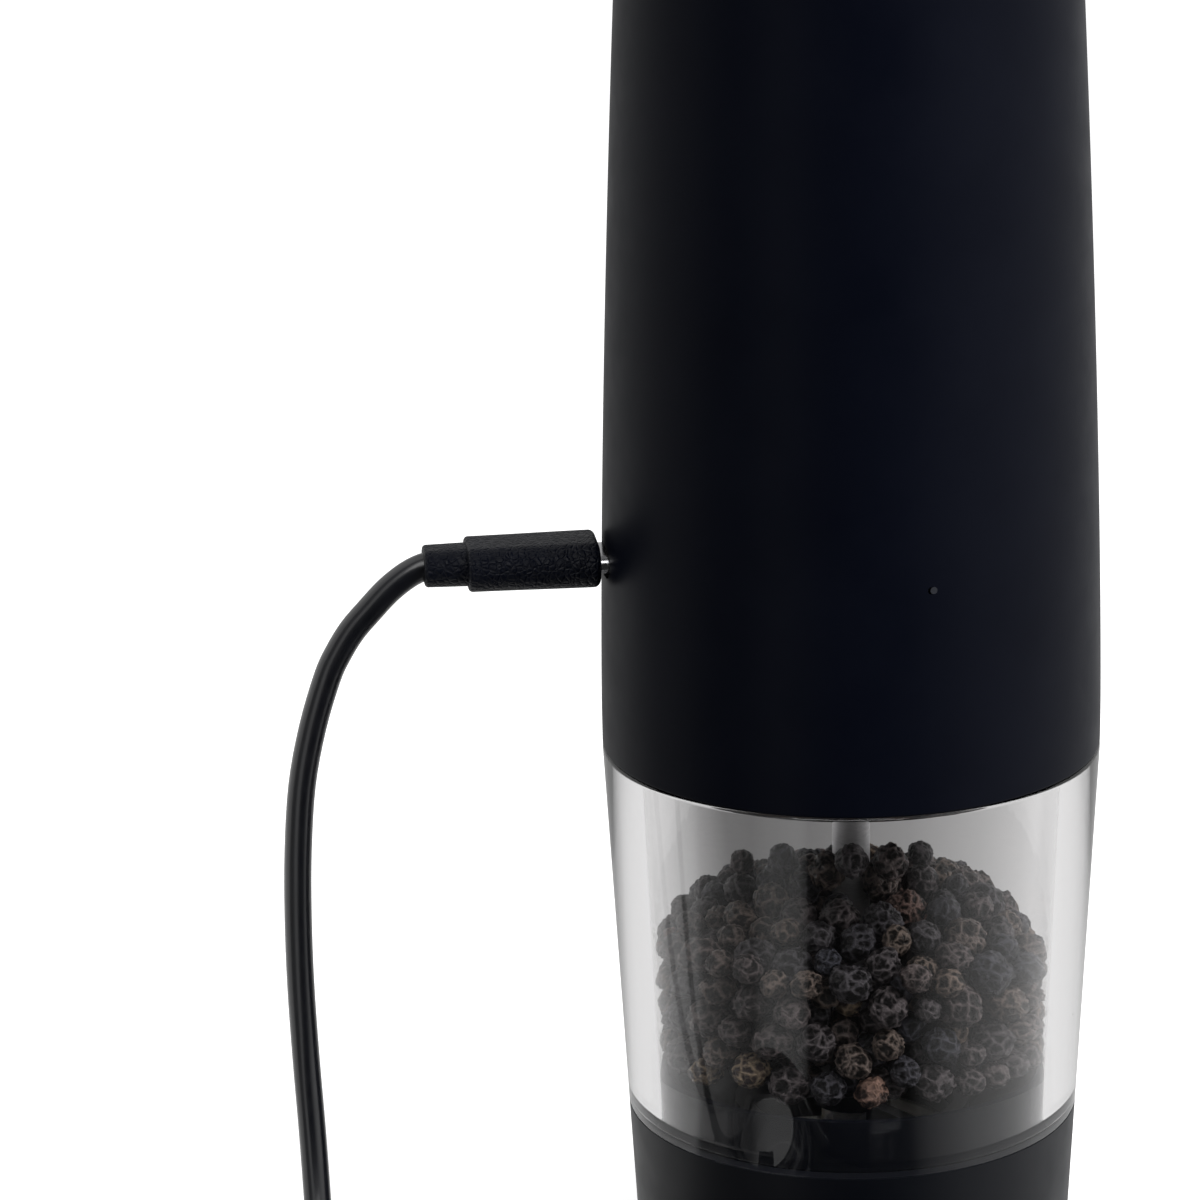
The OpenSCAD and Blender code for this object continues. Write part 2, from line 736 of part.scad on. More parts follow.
module jar_seal() {
    color([0.75, 0.76, 0.78]) translate([0, 0, seal_z]) rotate_extrude($fn = fine)
        translate([seal_r, 0]) circle(r = seal_wire, $fn = small);
}

// ---------- jar ----------

module jar() {
    neck_top = rim_z + neck_h;
    color([0.85, 0.88, 0.9, 0.35]) rotate_extrude($fn = fine) polygon([
        [lower_r(base_h) - jar_wall, base_h], [lower_r(base_h), base_h],
        [lower_r(rim_z), rim_z], [neck_r, rim_z], [neck_r, neck_top - neck_edge],
        [neck_r - neck_edge, neck_top], [mouth_r + neck_edge, neck_top],
        [mouth_r, neck_top - neck_edge], [mouth_r, rim_z]]);
}

// Outline of the heap, from the hopper's floor up the wall and in to the shaft
function heap_top(r) = rim_z - heap_drop - r * tan(heap_slope);
function heap_wall(z) = lower_r(z) - jar_wall - heap_gap;
function heap_profile() =
    let (edge_z = heap_top(mouth_r), low_z = base_h + collar_h + 1,
        rise = edge_z - low_z, side_n = round(rise / corn_step),
        edge_r = heap_wall(edge_z), hole_r = shaft_r + 1,
        top_n = round((edge_r - hole_r) / corn_step))
    concat([[hub_room, low_z]],
        [for (i = [0:side_n]) let (z = low_z + rise * i / side_n) [heap_wall(z), z]],
        [for (i = [1:top_n]) let (r = edge_r + (hole_r - edge_r) * i / top_n) [r, heap_top(r)]],
        [[hole_r, low_z + hub_room / 2]]);

// The heap of peppercorns: one solid, its surface uneven at the corns' size
module peppercorns() {
    path = heap_profile();
    last = len(path) - 1;
    sides = 2 * round(PI * mouth_r / corn_step);
    points = [for (i = [0:last], j = [0:sides - 1])
        let (a = 360 * j / sides, firm = i < 2 || i > last - 2,
            dip = firm || (i + j) % 2 == 0 ? 0 : corn_dip,
            r = path[i][0] - (path[i][0] > 0.8 * mouth_r ? dip : 0),
            z = path[i][1] - (path[i][0] > 0.8 * mouth_r ? 0 : dip))
        [r * cos(a), r * sin(a), z]];
    faces = [for (i = [0:last], j = [0:sides - 1])
        let (k = (j + 1) % sides, n = (i + 1) % (last + 1))
        each [[i * sides + j, n * sides + j, n * sides + k],
            [i * sides + j, n * sides + k, i * sides + k]]];
    color([0.16, 0.12, 0.09]) polyhedron(points, faces, convexity = 6);
}

// ---------- grinder ----------

module drive_shaft() {
    hex_z = cover_z - nose_drop - hex_drop;
    color([0.75, 0.75, 0.76]) {
        translate([0, 0, stem_top + cup_floor])
            cylinder(r = shaft_r, h = hex_z - stem_top - cup_floor, $fn = small);
        translate([0, 0, hex_z])
            cylinder(r = hex_r, h = hex_top - adjust_rise - clear - hex_z, $fn = 6);
    }
}

// Radius of the cone at a height above its lower edge
function cone_r(h) = h < mill_zone ? burr_cone_r - cone_slope * h
    : burr_cone_r - cone_slope * mill_zone
        - (burr_cone_r - cone_slope * mill_zone - cone_top_r)
            * (h - mill_zone) / (cone_h - mill_zone);

// Ceramic cone: fine teeth below, coarse leaning ribs above
module inner_burr() {
    fine_depth = 0.7;
    color([0.93, 0.92, 0.88]) translate([0, 0, cone_z]) difference() {
        cylinder_profile([[shaft_r + run, 0], [cone_r(0), 0], [cone_r(mill_zone), mill_zone],
            [cone_r(cone_h), cone_h], [shaft_r + run, cone_h]]);
        for (i = [0:cone_teeth - 1]) rotate([0, 0, 360 * i / cone_teeth])
            translate([cone_r(0), 0, -0.5]) rotate([12, -atan(cone_slope), 0])
                vee(fine_depth, mill_zone + 1.5);
        for (i = [0:4]) rotate([0, 0, 72 * i]) translate([cone_r(mill_zone) + 0.2, 0, mill_zone - 1])
            rotate([24, -atan((cone_r(mill_zone) - cone_top_r) / (cone_h - mill_zone)), 0])
                vee(1.8, cone_h);
    }
}

module cylinder_profile(points) {
    rotate_extrude($fn = fine) polygon(points);
}

// A groove of triangular section along Z, its edge pointing to the axis
module vee(depth, len) {
    linear_extrude(len) polygon([[-depth, 0], [depth, -depth], [depth, depth]]);
}

// Ceramic ring: fine teeth round the cone, leaning grooves up to the hopper
module outer_burr() {
    low_r = burr_cone_r + burr_gap;
    waist_r = low_r - cone_slope * mill_zone;
    top_r = burr_ring_r - 1.4;
    color([0.93, 0.92, 0.88]) translate([0, 0, ring_z]) difference() {
        cylinder_profile([[low_r, 0], [burr_ring_r, 0], [burr_ring_r, ring_h],
            [top_r, ring_h], [waist_r, mill_zone + 0.2], [low_r, 0.2]]);
        for (i = [0:ring_teeth - 1]) rotate([0, 0, 360 * i / ring_teeth])
            translate([low_r, 0, -0.5]) rotate([-12, -atan(cone_slope), 0])
                mirror([1, 0, 0]) vee(0.6, mill_zone + 1.2);
        for (i = [0:7]) rotate([0, 0, 45 * i]) translate([waist_r, 0, mill_zone - 0.5])
            rotate([-20, atan((top_r - waist_r) / (ring_h - mill_zone)), 0])
                mirror([1, 0, 0]) vee(1, ring_h);
    }
}

// Foot of the mill: outer skin, hopper floor and the bore for the ceramic ring
module grinder_base() {
    collar_top = base_h + collar_h;
    lip_z = ring_z + ring_h + slip;
    lip_r = burr_ring_r - lip_w;
    collar_r = lower_r(collar_top) - jar_wall - slip;
    color([0.06, 0.065, 0.075]) cylinder_profile([
        [foot_bore_r, 0], [lower_r(0) - foot_edge, 0], [lower_r(foot_edge), foot_edge],
        [lower_r(base_h), base_h], [lower_r(base_h) - jar_wall - slip, base_h],
        [collar_r, collar_top], [collar_r - 1, collar_top],
        [tube_r, lip_z + lip_t], [lip_r, lip_z + lip_t], [lip_r, lip_z],
        [burr_ring_r + slip, lip_z], [burr_ring_r + slip, spider_z], [tube_r, spider_z],
        [tube_r, lip_z - 1], [foot_bore_r - 1.5, base_h - 3], [foot_bore_r, base_h - 5]]);
}

// Bridge that holds the ceramic ring from below and carries the adjusting dial
module adjuster_bridge() {
    inner = burr_ring_r - bridge_rim;
    color([0.2, 0.2, 0.21]) {
        tube(burr_ring_r, inner, spider_z, ring_z);
        tube(stem_dial_r + 2.2, stem_dial_r + run, spider_z, spider_z + spider_t);
        for (i = [0:2]) rotate([0, 0, 60 + 120 * i])
            translate([stem_dial_r + 1, -bridge_arm_w / 2, spider_z])
                cube([inner + 0.5 - stem_dial_r - 1, bridge_arm_w, spider_t]);
    }
}

// Ring-shaped plate that closes the foot and snaps into it under the bridge
module bottom_plate() {
    color([0.08, 0.085, 0.09]) difference() {
        tube(foot_bore_r - slip, burr_ring_r - bridge_rim + 0.4, spider_z - plate_t, spider_z);
        for (i = [0:2]) rotate([0, 0, 120 * i])
            translate([(foot_bore_r + tube_r) / 2, 0, spider_z - plate_t - 1])
                cylinder(r = 3, h = 1.5, $fn = small);
    }
}

// Guide above the ceramics that keeps the shaft upright
module shaft_guide() {
    ring_r = tube_r - wall_slack;
    ring_low = ring_z + ring_h + lip_t + slip;
    arm_low = shaft_r + 0.7 * guide_hub_wall;
    color([0.2, 0.2, 0.21]) {
        tube(ring_r, ring_r - guide_wall, ring_low, ring_low + guide_ring_h);
        tube(shaft_r + guide_hub_wall, shaft_r + run, guide_z, guide_z + guide_hub_h);
        for (i = [0:2]) rotate([0, 0, 120 * i + 60])
            translate([arm_low, -guide_wall / 2, ring_low])
                cube([ring_r - guide_wall / 2 - arm_low, guide_wall, guide_ring_h]);
    }
}

module burr_spring() {
    color([0.7, 0.7, 0.72]) translate([0, 0, cone_z + cone_h])
        coil_spring(shaft_r + 0.9, 0.7, guide_z - cone_z - cone_h, 3);
}

module thrust_cup() {
    color([0.78, 0.62, 0.3]) translate([0, 0, stem_top]) difference() {
        cylinder(r = shaft_r + cup_wall, h = cup_t, $fn = fine);
        translate([0, 0, cup_floor]) cylinder(r = shaft_r + run, h = cup_t, $fn = fine);
    }
}

// Dial under the foot: a knurled disc with a pointer, on a threaded stem
module adjuster_dial() {
    color([0.3, 0.3, 0.32]) difference() {
        union() {
            translate([0, 0, dial_z]) cylinder(r = dial_r, h = dial_t, $fn = fine);
            translate([0, 0, dial_z + dial_t])
                cylinder(r = stem_dial_r, h = stem_top - dial_z - dial_t, $fn = fine);
        }
        for (i = [0:17]) rotate([0, 0, 20 * i]) translate([dial_r + 0.3, 0, dial_z - 1])
            cylinder(r = 0.7, h = dial_t + 2, $fn = 16);
        translate([1.5, -0.4, dial_z - 0.1]) cube([3.6, 0.8, 0.5]);
    }
}

// ---------- charging lead ----------

module plug_shell() {
    color([0.78, 0.78, 0.8]) difference() {
        translate([plug_face, 0, port_z]) rotate([90, 0, 90]) slot_bar(metal_w, metal_t, metal_len);
        translate([plug_face + metal_floor, 0, port_z]) rotate([90, 0, 90])
            slot_bar(metal_w - 2 * metal_wall, metal_t - 2 * metal_wall, metal_len);
    }
}

// Moulding of the plug: rounded at the sides, with a softened edge at each end
module plug_body() {
    edge = 0.7;
    color([0.06, 0.07, 0.09]) translate([plug_face - plug_len, 0, port_z]) rotate([90, 0, 90])
        hull() {
            slot_bar(plug_w - 2 * edge, plug_t - 2 * edge, plug_len);
            translate([0, 0, edge]) slot_bar(plug_w, plug_t, plug_len - 2 * edge);
        }
}

module strain_relief() {
    edge = 0.4;
    color([0.06, 0.07, 0.09]) translate([plug_face - plug_len - relief_len, 0, port_z])
        rotate([90, 0, 90]) hull() {
            slot_bar(relief_w - 2 * edge, relief_t - 2 * edge, relief_len);
            translate([0, 0, edge]) slot_bar(relief_w, relief_t, relief_len - edge);
        }
}

// Direction of a route at one of its points
function unit(v) = v / norm(v);
function heading(route, i) = unit(route[min(i + 1, len(route) - 1)] - route[max(i - 1, 0)]);

// A tube along a route: eight sides, one ring at each point
module swept(route, d, first) {
    sides = 8;
    last = len(route) - 1;
    points = [for (i = [0:last], j = [0:sides - 1])
        let (t = i == 0 ? first : heading(route, i),
            side = unit(cross(t, [1, -1, 1])),
            up = cross(side, t), a = 360 * j / sides)
        route[i] + d / 2 * (cos(a) * side + sin(a) * up)];
    walls = [for (i = [0:last - 1], j = [0:sides - 1])
        let (k = (j + 1) % sides)
        [i * sides + j, i * sides + k, (i + 1) * sides + k, (i + 1) * sides + j]];
    polyhedron(points, concat([[for (j = [sides - 1:-1:0]) j]], walls,
        [[for (j = [0:sides - 1]) last * sides + j]]), convexity = 8);
}

module charging_cord() {
    color([0.04, 0.04, 0.05]) swept(concat([cord_start], ROUTE), cord_d, [-1, 0, 0]);
}

// Outer shape of the coiled turns
module cord_coil() {
    half = cord_d / 2;
    top = coil_layers * cord_d;
    color([0.04, 0.04, 0.05]) translate(coil_at) rotate_extrude($fn = fine) polygon([
        [coil_inner_r - half, 0], [coil_outer_r + half, 0],
        [coil_outer_r + half, cord_d], [coil_outer_r + half / 2, top],
        [coil_inner_r - half / 2, top], [coil_inner_r - half, cord_d]]);
}

// A soft tie round the turns
module coil_tie() {
    tie_w = 6;
    tie_t = 0.8;
    inner = sqrt(pow(coil_inner_r - cord_d / 2, 2) - pow(tie_w / 2, 2)) - slip;
    outer = coil_outer_r + cord_d / 2 + slip;
    top = coil_layers * cord_d + slip;
    color([0.1, 0.1, 0.11]) translate(coil_at) rotate([0, 0, 40]) {
        translate([inner - tie_t, -tie_w / 2, top]) cube([outer - inner + 2 * tie_t, tie_w, tie_t]);
        for (x = [inner - tie_t, outer]) translate([x, -tie_w / 2, tie_t / 2])
            cube([tie_t, tie_w, top]);
    }
}

module cord_tail() {
    color([0.04, 0.04, 0.05]) swept(TAIL, cord_d, [1, 0, 0]);
}

module usb_a_body() {
    edge = 0.8;
    color([0.06, 0.07, 0.09]) translate(tail_end)
        translate([0, -usb_a_w / 2, -usb_a_t / 2]) hull() {
            translate([0, edge, edge]) cube([usb_a_len, usb_a_w - 2 * edge, usb_a_t - 2 * edge]);
            translate([edge, 0, edge])
                cube([usb_a_len - 2 * edge, usb_a_w, usb_a_t - 2 * edge]);
            translate([edge, edge, 0])
                cube([usb_a_len - 2 * edge, usb_a_w - 2 * edge, usb_a_t]);
        }
}

// Flat metal shell with the contact block inside it
module usb_a_shell() {
    wall = 0.35;
    block_t = 0.2;
    window = [2.2, 2, 3];
    color([0.78, 0.78, 0.8]) translate(tail_end + [usb_a_len, 0, 0]) difference() {
        translate([0, -usb_a_metal_w / 2, -usb_a_metal_t / 2])
            cube([usb_a_metal_len, usb_a_metal_w, usb_a_metal_t]);
        translate([2, -usb_a_metal_w / 2 + wall, -block_t])
            cube([usb_a_metal_len, usb_a_metal_w - 2 * wall, usb_a_metal_t / 2 + block_t - wall]);
        for (side = [-1, 1]) translate([usb_a_metal_len - 6.2, side * 2.4 - window[1] / 2, 1])
            cube(window);
    }
}

body_shell();
push_button();
button_spring();
button_switch();
button_board();
inner_frame();
battery_cell();
control_board();
board_chips();
usb_socket();
light_guide();
indicator_board();
motor_can();
motor_magnets();
motor_end_cap();
motor_armature();
sun_pinion();
gear_housing();
planet_upper_1();
planet_upper_2();
planet_upper_3();
upper_carrier();
planet_lower_1();
planet_lower_2();
planet_lower_3();
output_carrier();
lower_cover();
cover_screws();
jar_seal();
jar();
peppercorns();
drive_shaft();
inner_burr();
outer_burr();
grinder_base();
adjuster_bridge();
bottom_plate();
shaft_guide();
burr_spring();
thrust_cup();
adjuster_dial();
plug_shell();
plug_body();
strain_relief();
charging_cord();
cord_coil();
coil_tie();
cord_tail();
usb_a_body();
usb_a_shell();
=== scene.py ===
"""Rechargeable pepper mill: black motor unit on a thick clear jar of peppercorns, with its charging lead.

Everything is in metres in the frame of the CAD part: +Z up, origin in the middle of the foot, socket to -X.
"""

import json
import math

import bmesh
import bpy
import numpy as np
from mathutils import Matrix, Quaternion, Vector, noise


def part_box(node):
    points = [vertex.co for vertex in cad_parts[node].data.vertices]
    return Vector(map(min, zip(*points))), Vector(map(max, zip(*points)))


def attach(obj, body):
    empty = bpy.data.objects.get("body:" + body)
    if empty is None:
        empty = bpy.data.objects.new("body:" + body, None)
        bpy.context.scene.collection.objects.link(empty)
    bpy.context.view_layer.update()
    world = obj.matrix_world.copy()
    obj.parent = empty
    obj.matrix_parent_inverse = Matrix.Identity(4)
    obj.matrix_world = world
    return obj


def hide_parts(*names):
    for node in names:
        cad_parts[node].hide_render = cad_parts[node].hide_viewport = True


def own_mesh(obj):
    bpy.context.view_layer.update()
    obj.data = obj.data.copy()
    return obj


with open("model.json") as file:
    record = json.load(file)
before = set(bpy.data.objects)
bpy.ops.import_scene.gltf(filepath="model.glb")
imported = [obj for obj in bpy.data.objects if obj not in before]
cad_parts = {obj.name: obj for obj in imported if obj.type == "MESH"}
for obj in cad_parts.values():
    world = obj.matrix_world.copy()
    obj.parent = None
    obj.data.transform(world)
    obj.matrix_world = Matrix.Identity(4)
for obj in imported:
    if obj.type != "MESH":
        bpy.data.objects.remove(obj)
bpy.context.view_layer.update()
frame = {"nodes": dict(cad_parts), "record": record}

MM = 0.001
NODES = frame["nodes"]

# ---------- sizes, from the frame where it gives them ----------

BODY_LOW, BODY_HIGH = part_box("body_shell")
JAR_LOW, JAR_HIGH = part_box("jar")
PLUG_LOW, PLUG_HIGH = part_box("plug_body")
RELIEF_LOW, RELIEF_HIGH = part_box("strain_relief")
RIM_R = BODY_HIGH[0]
RIM_Z = BODY_LOW[2]
CROWN_Z = BODY_HIGH[2]
BASE_H = JAR_LOW[2]
NECK_TOP = JAR_HIGH[2]
BODY_H = CROWN_Z - RIM_Z
CROWN_R = 29 * MM
FOOT_R = 28.3 * MM
BULGE_H = 5 * MM
BULGE_POWER = 1.5
SHELL_WALL = 2.2 * MM
CROWN_WALL = 2.6 * MM
CROWN_FILLET = 5 * MM
BUTTON_R = 11 * MM
BUTTON_PLAY = 0.05 * MM
PORT_WIDTH = 9.5 * MM
PORT_HEIGHT = 3.9 * MM
PORT_Z = (PLUG_LOW[2] + PLUG_HIGH[2]) / 2
LAMP_HOLE_R = 0.5 * MM
JAR_WALL = 4.6 * MM
NECK_GAP = 0.3 * MM
CORD_D = 3.6 * MM


def body_radius(z):
    """Outer radius of the black motor unit at a height above the table."""
    share = abs(z - RIM_Z - BULGE_H) / (BODY_H - BULGE_H)
    return RIM_R - (RIM_R - CROWN_R) * share**BULGE_POWER


def lower_radius(z):
    """Outer radius of the jar and the foot at a height above the table."""
    return FOOT_R + (RIM_R - FOOT_R) * z / RIM_Z


def inner_radius(z):
    """Inner radius of the jar's wall at a height above the table."""
    return lower_radius(z) - JAR_WALL


# ---------- camera ----------

CAMERA_AT = (-101.70 * MM, -656.88 * MM, 297.64 * MM)
CAMERA_TURN = math.radians(-6)
CAMERA_PITCH = math.radians(17.03)
CAMERA_ROLL = math.radians(-0.999)
CAMERA_LENS = 160.56


def add_camera():
    """The photo's camera, with its lens in millimetres for the usual 36 mm sensor."""
    data = bpy.data.cameras.new("camera")
    data.lens = CAMERA_LENS
    data.sensor_width = 36
    data.clip_start = 0.05
    data.clip_end = 20
    camera = bpy.data.objects.new("camera", data)
    bpy.context.collection.objects.link(camera)
    turn = Matrix.Rotation(CAMERA_TURN, 4, "Z")
    tilt = Matrix.Rotation(math.pi / 2 - CAMERA_PITCH, 4, "X")
    roll = Matrix.Rotation(CAMERA_ROLL, 4, "Z")
    camera.matrix_world = Matrix.Translation(CAMERA_AT) @ turn @ tilt @ roll
    bpy.context.scene.camera = camera


# ---------- charging lead ----------

# Points of the lead's middle line in millimetres: from the strain relief down to the table and over to the coil,
# and from the coil to the USB plug.
ROUTE = [
    (-57.5, 0, 99.9), (-60, 0, 98), (-62.5, 0, 95.4), (-64.8, 0, 92.8),
    (-66.7, 0, 89.8), (-68.2, 0, 86.6), (-70.3, 0, 79.9), (-71.9, 0, 72.2),
    (-72.7, 0, 63.3), (-73, 0, 54.5), (-73, -0.4, 45), (-72.7, -1.5, 35),
    (-72.3, -3.8, 25.5), (-72.1, -7.6, 17), (-72.1, -13, 9.6),
    (-72.2, -19, 4.6), (-72.3, -25, 2.4), (-72.4, -31, 1.8), (-72.4, -37, 1.8),
    (-72.4, -42, 1.8), (-72.4, -46, 1.8),
]
TAIL = [
    (-44.8, -72.4, 5.4), (-40.8, -72.5, 5.3), (-36.8, -72.6, 5), (-32.8, -72.7, 4.4),
    (-28.8, -72.7, 4), (-25, -72.7, 4),
]
# Also in millimetres: how far the jacket goes into the strain relief, how much it drops there, and the coil.
INTO_RELIEF = 1.2
SAG_AT_RELIEF = 0.1
COIL_AT = (-48.8, -50)
COIL_OUTER = 23.6
COIL_INNER = 15.6
COIL_PITCH = 3.65
# The coil's turns: on the table, while it climbs (the first of them also take it inward), and on top.
COIL_LOW_TURNS = 2
COIL_RISE_TURNS = 0.4
COIL_INWARD_TURNS = 0.2
COIL_RISE_DELAY = 0.03
COIL_HIGH_TURNS = 1.85
COIL_STEPS = 36
PATH_STEPS = 4
CORD_SIDES = 24


def smooth_step(x):
    """Goes from 0 to 1 with a slow start and a slow end."""
    x = min(max(x, 0.0), 1.0)
    return x * x * (3 - 2 * x)


def coil_points():
    """Two turns inward on the table, a rise, and two turns outward on top of them, anticlockwise from above."""
    points = []
    turns = COIL_LOW_TURNS + COIL_RISE_TURNS + COIL_HIGH_TURNS
    low_z = CORD_D / 2 / MM
    for i in range(1, int(turns * COIL_STEPS) + 1):
        t = i / COIL_STEPS
        if t < COIL_LOW_TURNS:
            radius = COIL_OUTER - COIL_PITCH * t
        elif t < COIL_LOW_TURNS + COIL_RISE_TURNS:
            radius = COIL_OUTER - COIL_PITCH * COIL_LOW_TURNS
            radius -= (radius - COIL_INNER) * smooth_step((t - COIL_LOW_TURNS) / COIL_INWARD_TURNS)
        else:
            radius = COIL_INNER + COIL_PITCH * (t - COIL_LOW_TURNS - COIL_RISE_TURNS)
        z = low_z + 2 * low_z * smooth_step((t - COIL_LOW_TURNS - COIL_RISE_DELAY) / COIL_RISE_TURNS)
        angle = math.pi + 2 * math.pi * t
        points.append((COIL_AT[0] + radius * math.cos(angle), COIL_AT[1] + radius * math.sin(angle), z))
    return points


def smooth_path(points):
    """A Catmull-Rom line through points given in millimetres. The line is in metres."""
    points = [Vector(p) * MM for p in points]
    ends = [2 * points[0] - points[1], *points, 2 * points[-1] - points[-2]]
    path = []
    for a, b, c, d in zip(ends, ends[1:], ends[2:], ends[3:]):
        for i in range(PATH_STEPS):
            t = i / PATH_STEPS
            path.append(
                0.5 * (2 * b + (c - a) * t + (2 * a - 5 * b + 4 * c - d) * t**2 + (3 * b - a - 3 * c + d) * t**3)
            )
    return [*path, points[-1]]


def add_cord(material):
    """The whole jacket as one tube: out of the strain relief, down to the table, round the coil, to the USB plug."""
    exit_x, exit_z = RELIEF_LOW[0] / MM, PORT_Z / MM
    start = [(exit_x + INTO_RELIEF, 0, exit_z), (exit_x, 0, exit_z - SAG_AT_RELIEF)]
    path = smooth_path([*start, *ROUTE, *coil_points(), *TAIL])
    lead = tube("lead", path, CORD_D / 2, CORD_SIDES, material)
    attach(lead, "charging_lead")
    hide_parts("charging_cord", "cord_coil", "cord_tail")
    return lead, path


# ---------- material helpers ----------

# Nearly every value of a noise texture lies between these.
NOISE_LOW, NOISE_HIGH = 0.3, 0.7


class Nodes:
    """Short calls for building one node material. Texture scales count features in a metre."""

    def __init__(self, name):
        self.material = bpy.data.materials.new(name)
        self.material.use_nodes = True
        self.tree = self.material.node_tree
        self.shader = self.tree.nodes["Principled BSDF"]
        self.output = self.tree.nodes["Material Output"]
        self.place = self.add("ShaderNodeTexCoord").outputs["Object"]

    def add(self, kind, **values):
        node = self.tree.nodes.new(kind)
        for key, value in values.items():
            setattr(node, key, value)
        return node

    def link(self, source, target):
        self.tree.links.new(source, target)

    def set(self, **values):
        """Sets inputs of the Principled shader."""
        for key, value in values.items():
            socket = self.shader.inputs[key.replace("_", " ")]
            socket.default_value = (*value, 1) if isinstance(value, tuple) else value
        return self

    def noise(self, scale, detail=3.0, roughness=0.55):
        node = self.add("ShaderNodeTexNoise")
        node.inputs["Scale"].default_value = scale
        node.inputs["Detail"].default_value = detail
        node.inputs["Roughness"].default_value = roughness
        self.link(self.place, node.inputs["Vector"])
        return node.outputs["Fac"]

    def warped(self, scale, amount):
        """The object's coordinates pushed about by noise, so that a pattern loses its straight edges."""
        node = self.add("ShaderNodeTexNoise")
        node.inputs["Scale"].default_value = scale
        node.inputs["Detail"].default_value = 2
        self.link(self.place, node.inputs["Vector"])
        shift = self.add("ShaderNodeVectorMath", operation="MULTIPLY_ADD")
        self.link(node.outputs["Color"], shift.inputs[0])
        shift.inputs[1].default_value = (amount, amount, amount)
        self.link(self.place, shift.inputs[2])
        return shift.outputs["Vector"]

    def cell_edges(self, scale, place):
        """Distance to the nearest edge in a pattern of cells."""
        node = self.add("ShaderNodeTexVoronoi", feature="DISTANCE_TO_EDGE")
        node.inputs["Scale"].default_value = scale
        self.link(place, node.inputs["Vector"])
        return node.outputs["Distance"]

    def ramp(self, value, stops):
        """A colour by value, from stops of (position, colour or grey)."""
        node = self.add("ShaderNodeValToRGB")
        ends = node.color_ramp.elements
        while len(ends) < len(stops):
            ends.new(0.5)
        for end, (at, colour) in zip(ends, stops):
            end.position = at
            end.color = (*colour, 1) if isinstance(colour, tuple) else (colour, colour, colour, 1)
        self.link(value, node.inputs["Fac"])
        return node.outputs["Color"]

    def range(self, value, low, high, from_low=NOISE_LOW, from_high=NOISE_HIGH):
        """The value moved from one range into another, and held inside it."""
        node = self.add("ShaderNodeMapRange")
        node.inputs["From Min"].default_value = from_low
        node.inputs["From Max"].default_value = from_high
        node.inputs["To Min"].default_value = low
        node.inputs["To Max"].default_value = high
        self.link(value, node.inputs["Value"])
        return node.outputs["Result"]

    def math(self, operation, a, b):
        node = self.add("ShaderNodeMath", operation=operation)
        for socket, value in zip(node.inputs, (a, b)):
            if isinstance(value, (int, float)):
                socket.default_value = value
            else:
                self.link(value, socket)
        return node.outputs["Value"]

    def bump(self, height, distance, strength):
        node = self.add("ShaderNodeBump")
        node.inputs["Strength"].default_value = strength
        node.inputs["Distance"].default_value = distance
        self.link(height, node.inputs["Height"])
        self.link(node.outputs["Normal"], self.shader.inputs["Normal"])
        return self

    def colour(self, socket):
        self.link(socket, self.shader.inputs["Base Color"])
        return self

    def roughness(self, socket):
        self.link(socket, self.shader.inputs["Roughness"])
        return self

    def tone(self, scale, detail, dark, light):
        """Base colour that wanders between two tones."""
        return self.colour(self.ramp(self.noise(scale, detail), [(NOISE_LOW, dark), (NOISE_HIGH, light)]))

    def gloss(self, scale, detail, low, high):
        """Roughness that wanders between two values."""
        return self.roughness(self.range(self.noise(scale, detail), low, high))


def moulded(name, dark, light, rough, grain=2600, depth=0.02 * MM, level=0.5):
    """Moulded plastic: a fine grain, a faint change of tone and of gloss over the surface."""
    m = Nodes(name)
    m.set(Specular_IOR_Level=level)
    m.tone(90, 3, dark, light)
    m.gloss(140, 4, rough - 0.04, rough + 0.04)
    m.bump(m.noise(grain, 2), depth, 0.5)
    return m.material


def metal(name, colour, rough, brushed=(1, 1, 1), depth=0.004 * MM):
    """Metal with a fine grain that is stretched along one axis."""
    m = Nodes(name)
    m.set(Metallic=1.0)
    stretch = m.add("ShaderNodeMapping")
    stretch.inputs["Scale"].default_value = brushed
    m.link(m.place, stretch.inputs["Vector"])
    m.place = stretch.outputs["Vector"]
    m.tone(900, 4, tuple(c * 0.82 for c in colour), colour)
    m.gloss(1600, 4, rough - 0.06, rough + 0.08)
    m.bump(m.noise(2400, 3), depth, 0.4)
    return m.material


def soft_touch():
    """Soft-touch coat: nearly black with a blue cast, a dull sheen that shows only at the edges."""
    m = Nodes("soft_touch_black")
    m.set(Specular_IOR_Level=0.045)
    m.colour(m.ramp(m.noise(60, 4), [(0.35, (0.0019, 0.0025, 0.0056)), (0.65, (0.0026, 0.0033, 0.0068))]))
    m.gloss(220, 5, 0.34, 0.4)
    m.bump(m.noise(3800, 2), 0.012 * MM, 0.6)
    return m.material


def grained_rubber():
    """Leather-like moulded grain of the plug: small soft cells with creases between them."""
    m = Nodes("plug_black")
    m.set(Specular_IOR_Level=0.17)
    m.tone(300, 4, (0.0005, 0.0011, 0.004), (0.001, 0.0018, 0.0056))
    m.gloss(700, 4, 0.36, 0.46)
    crease = m.range(m.cell_edges(1300, m.warped(600, 0.7 * MM)), 0.0, 1.0, 0.0, 0.22)
    m.bump(m.math("ADD", crease, m.math("MULTIPLY", m.noise(800, 4), 1.8)), 0.11 * MM, 0.85)
    return m.material


def cord_jacket():
    """Glossy black jacket of the lead: a clear skin over a slightly uneven one."""
    m = Nodes("cord_black")
    m.set(Specular_IOR_Level=0.5, Coat_Weight=0.8, Coat_Roughness=0.17)
    m.tone(400, 3, (0.0004, 0.0007, 0.0024), (0.0008, 0.0012, 0.0036))
    m.gloss(500, 4, 0.3, 0.4)
    m.bump(m.noise(1800, 2), 0.01 * MM, 0.4)
    return m.material


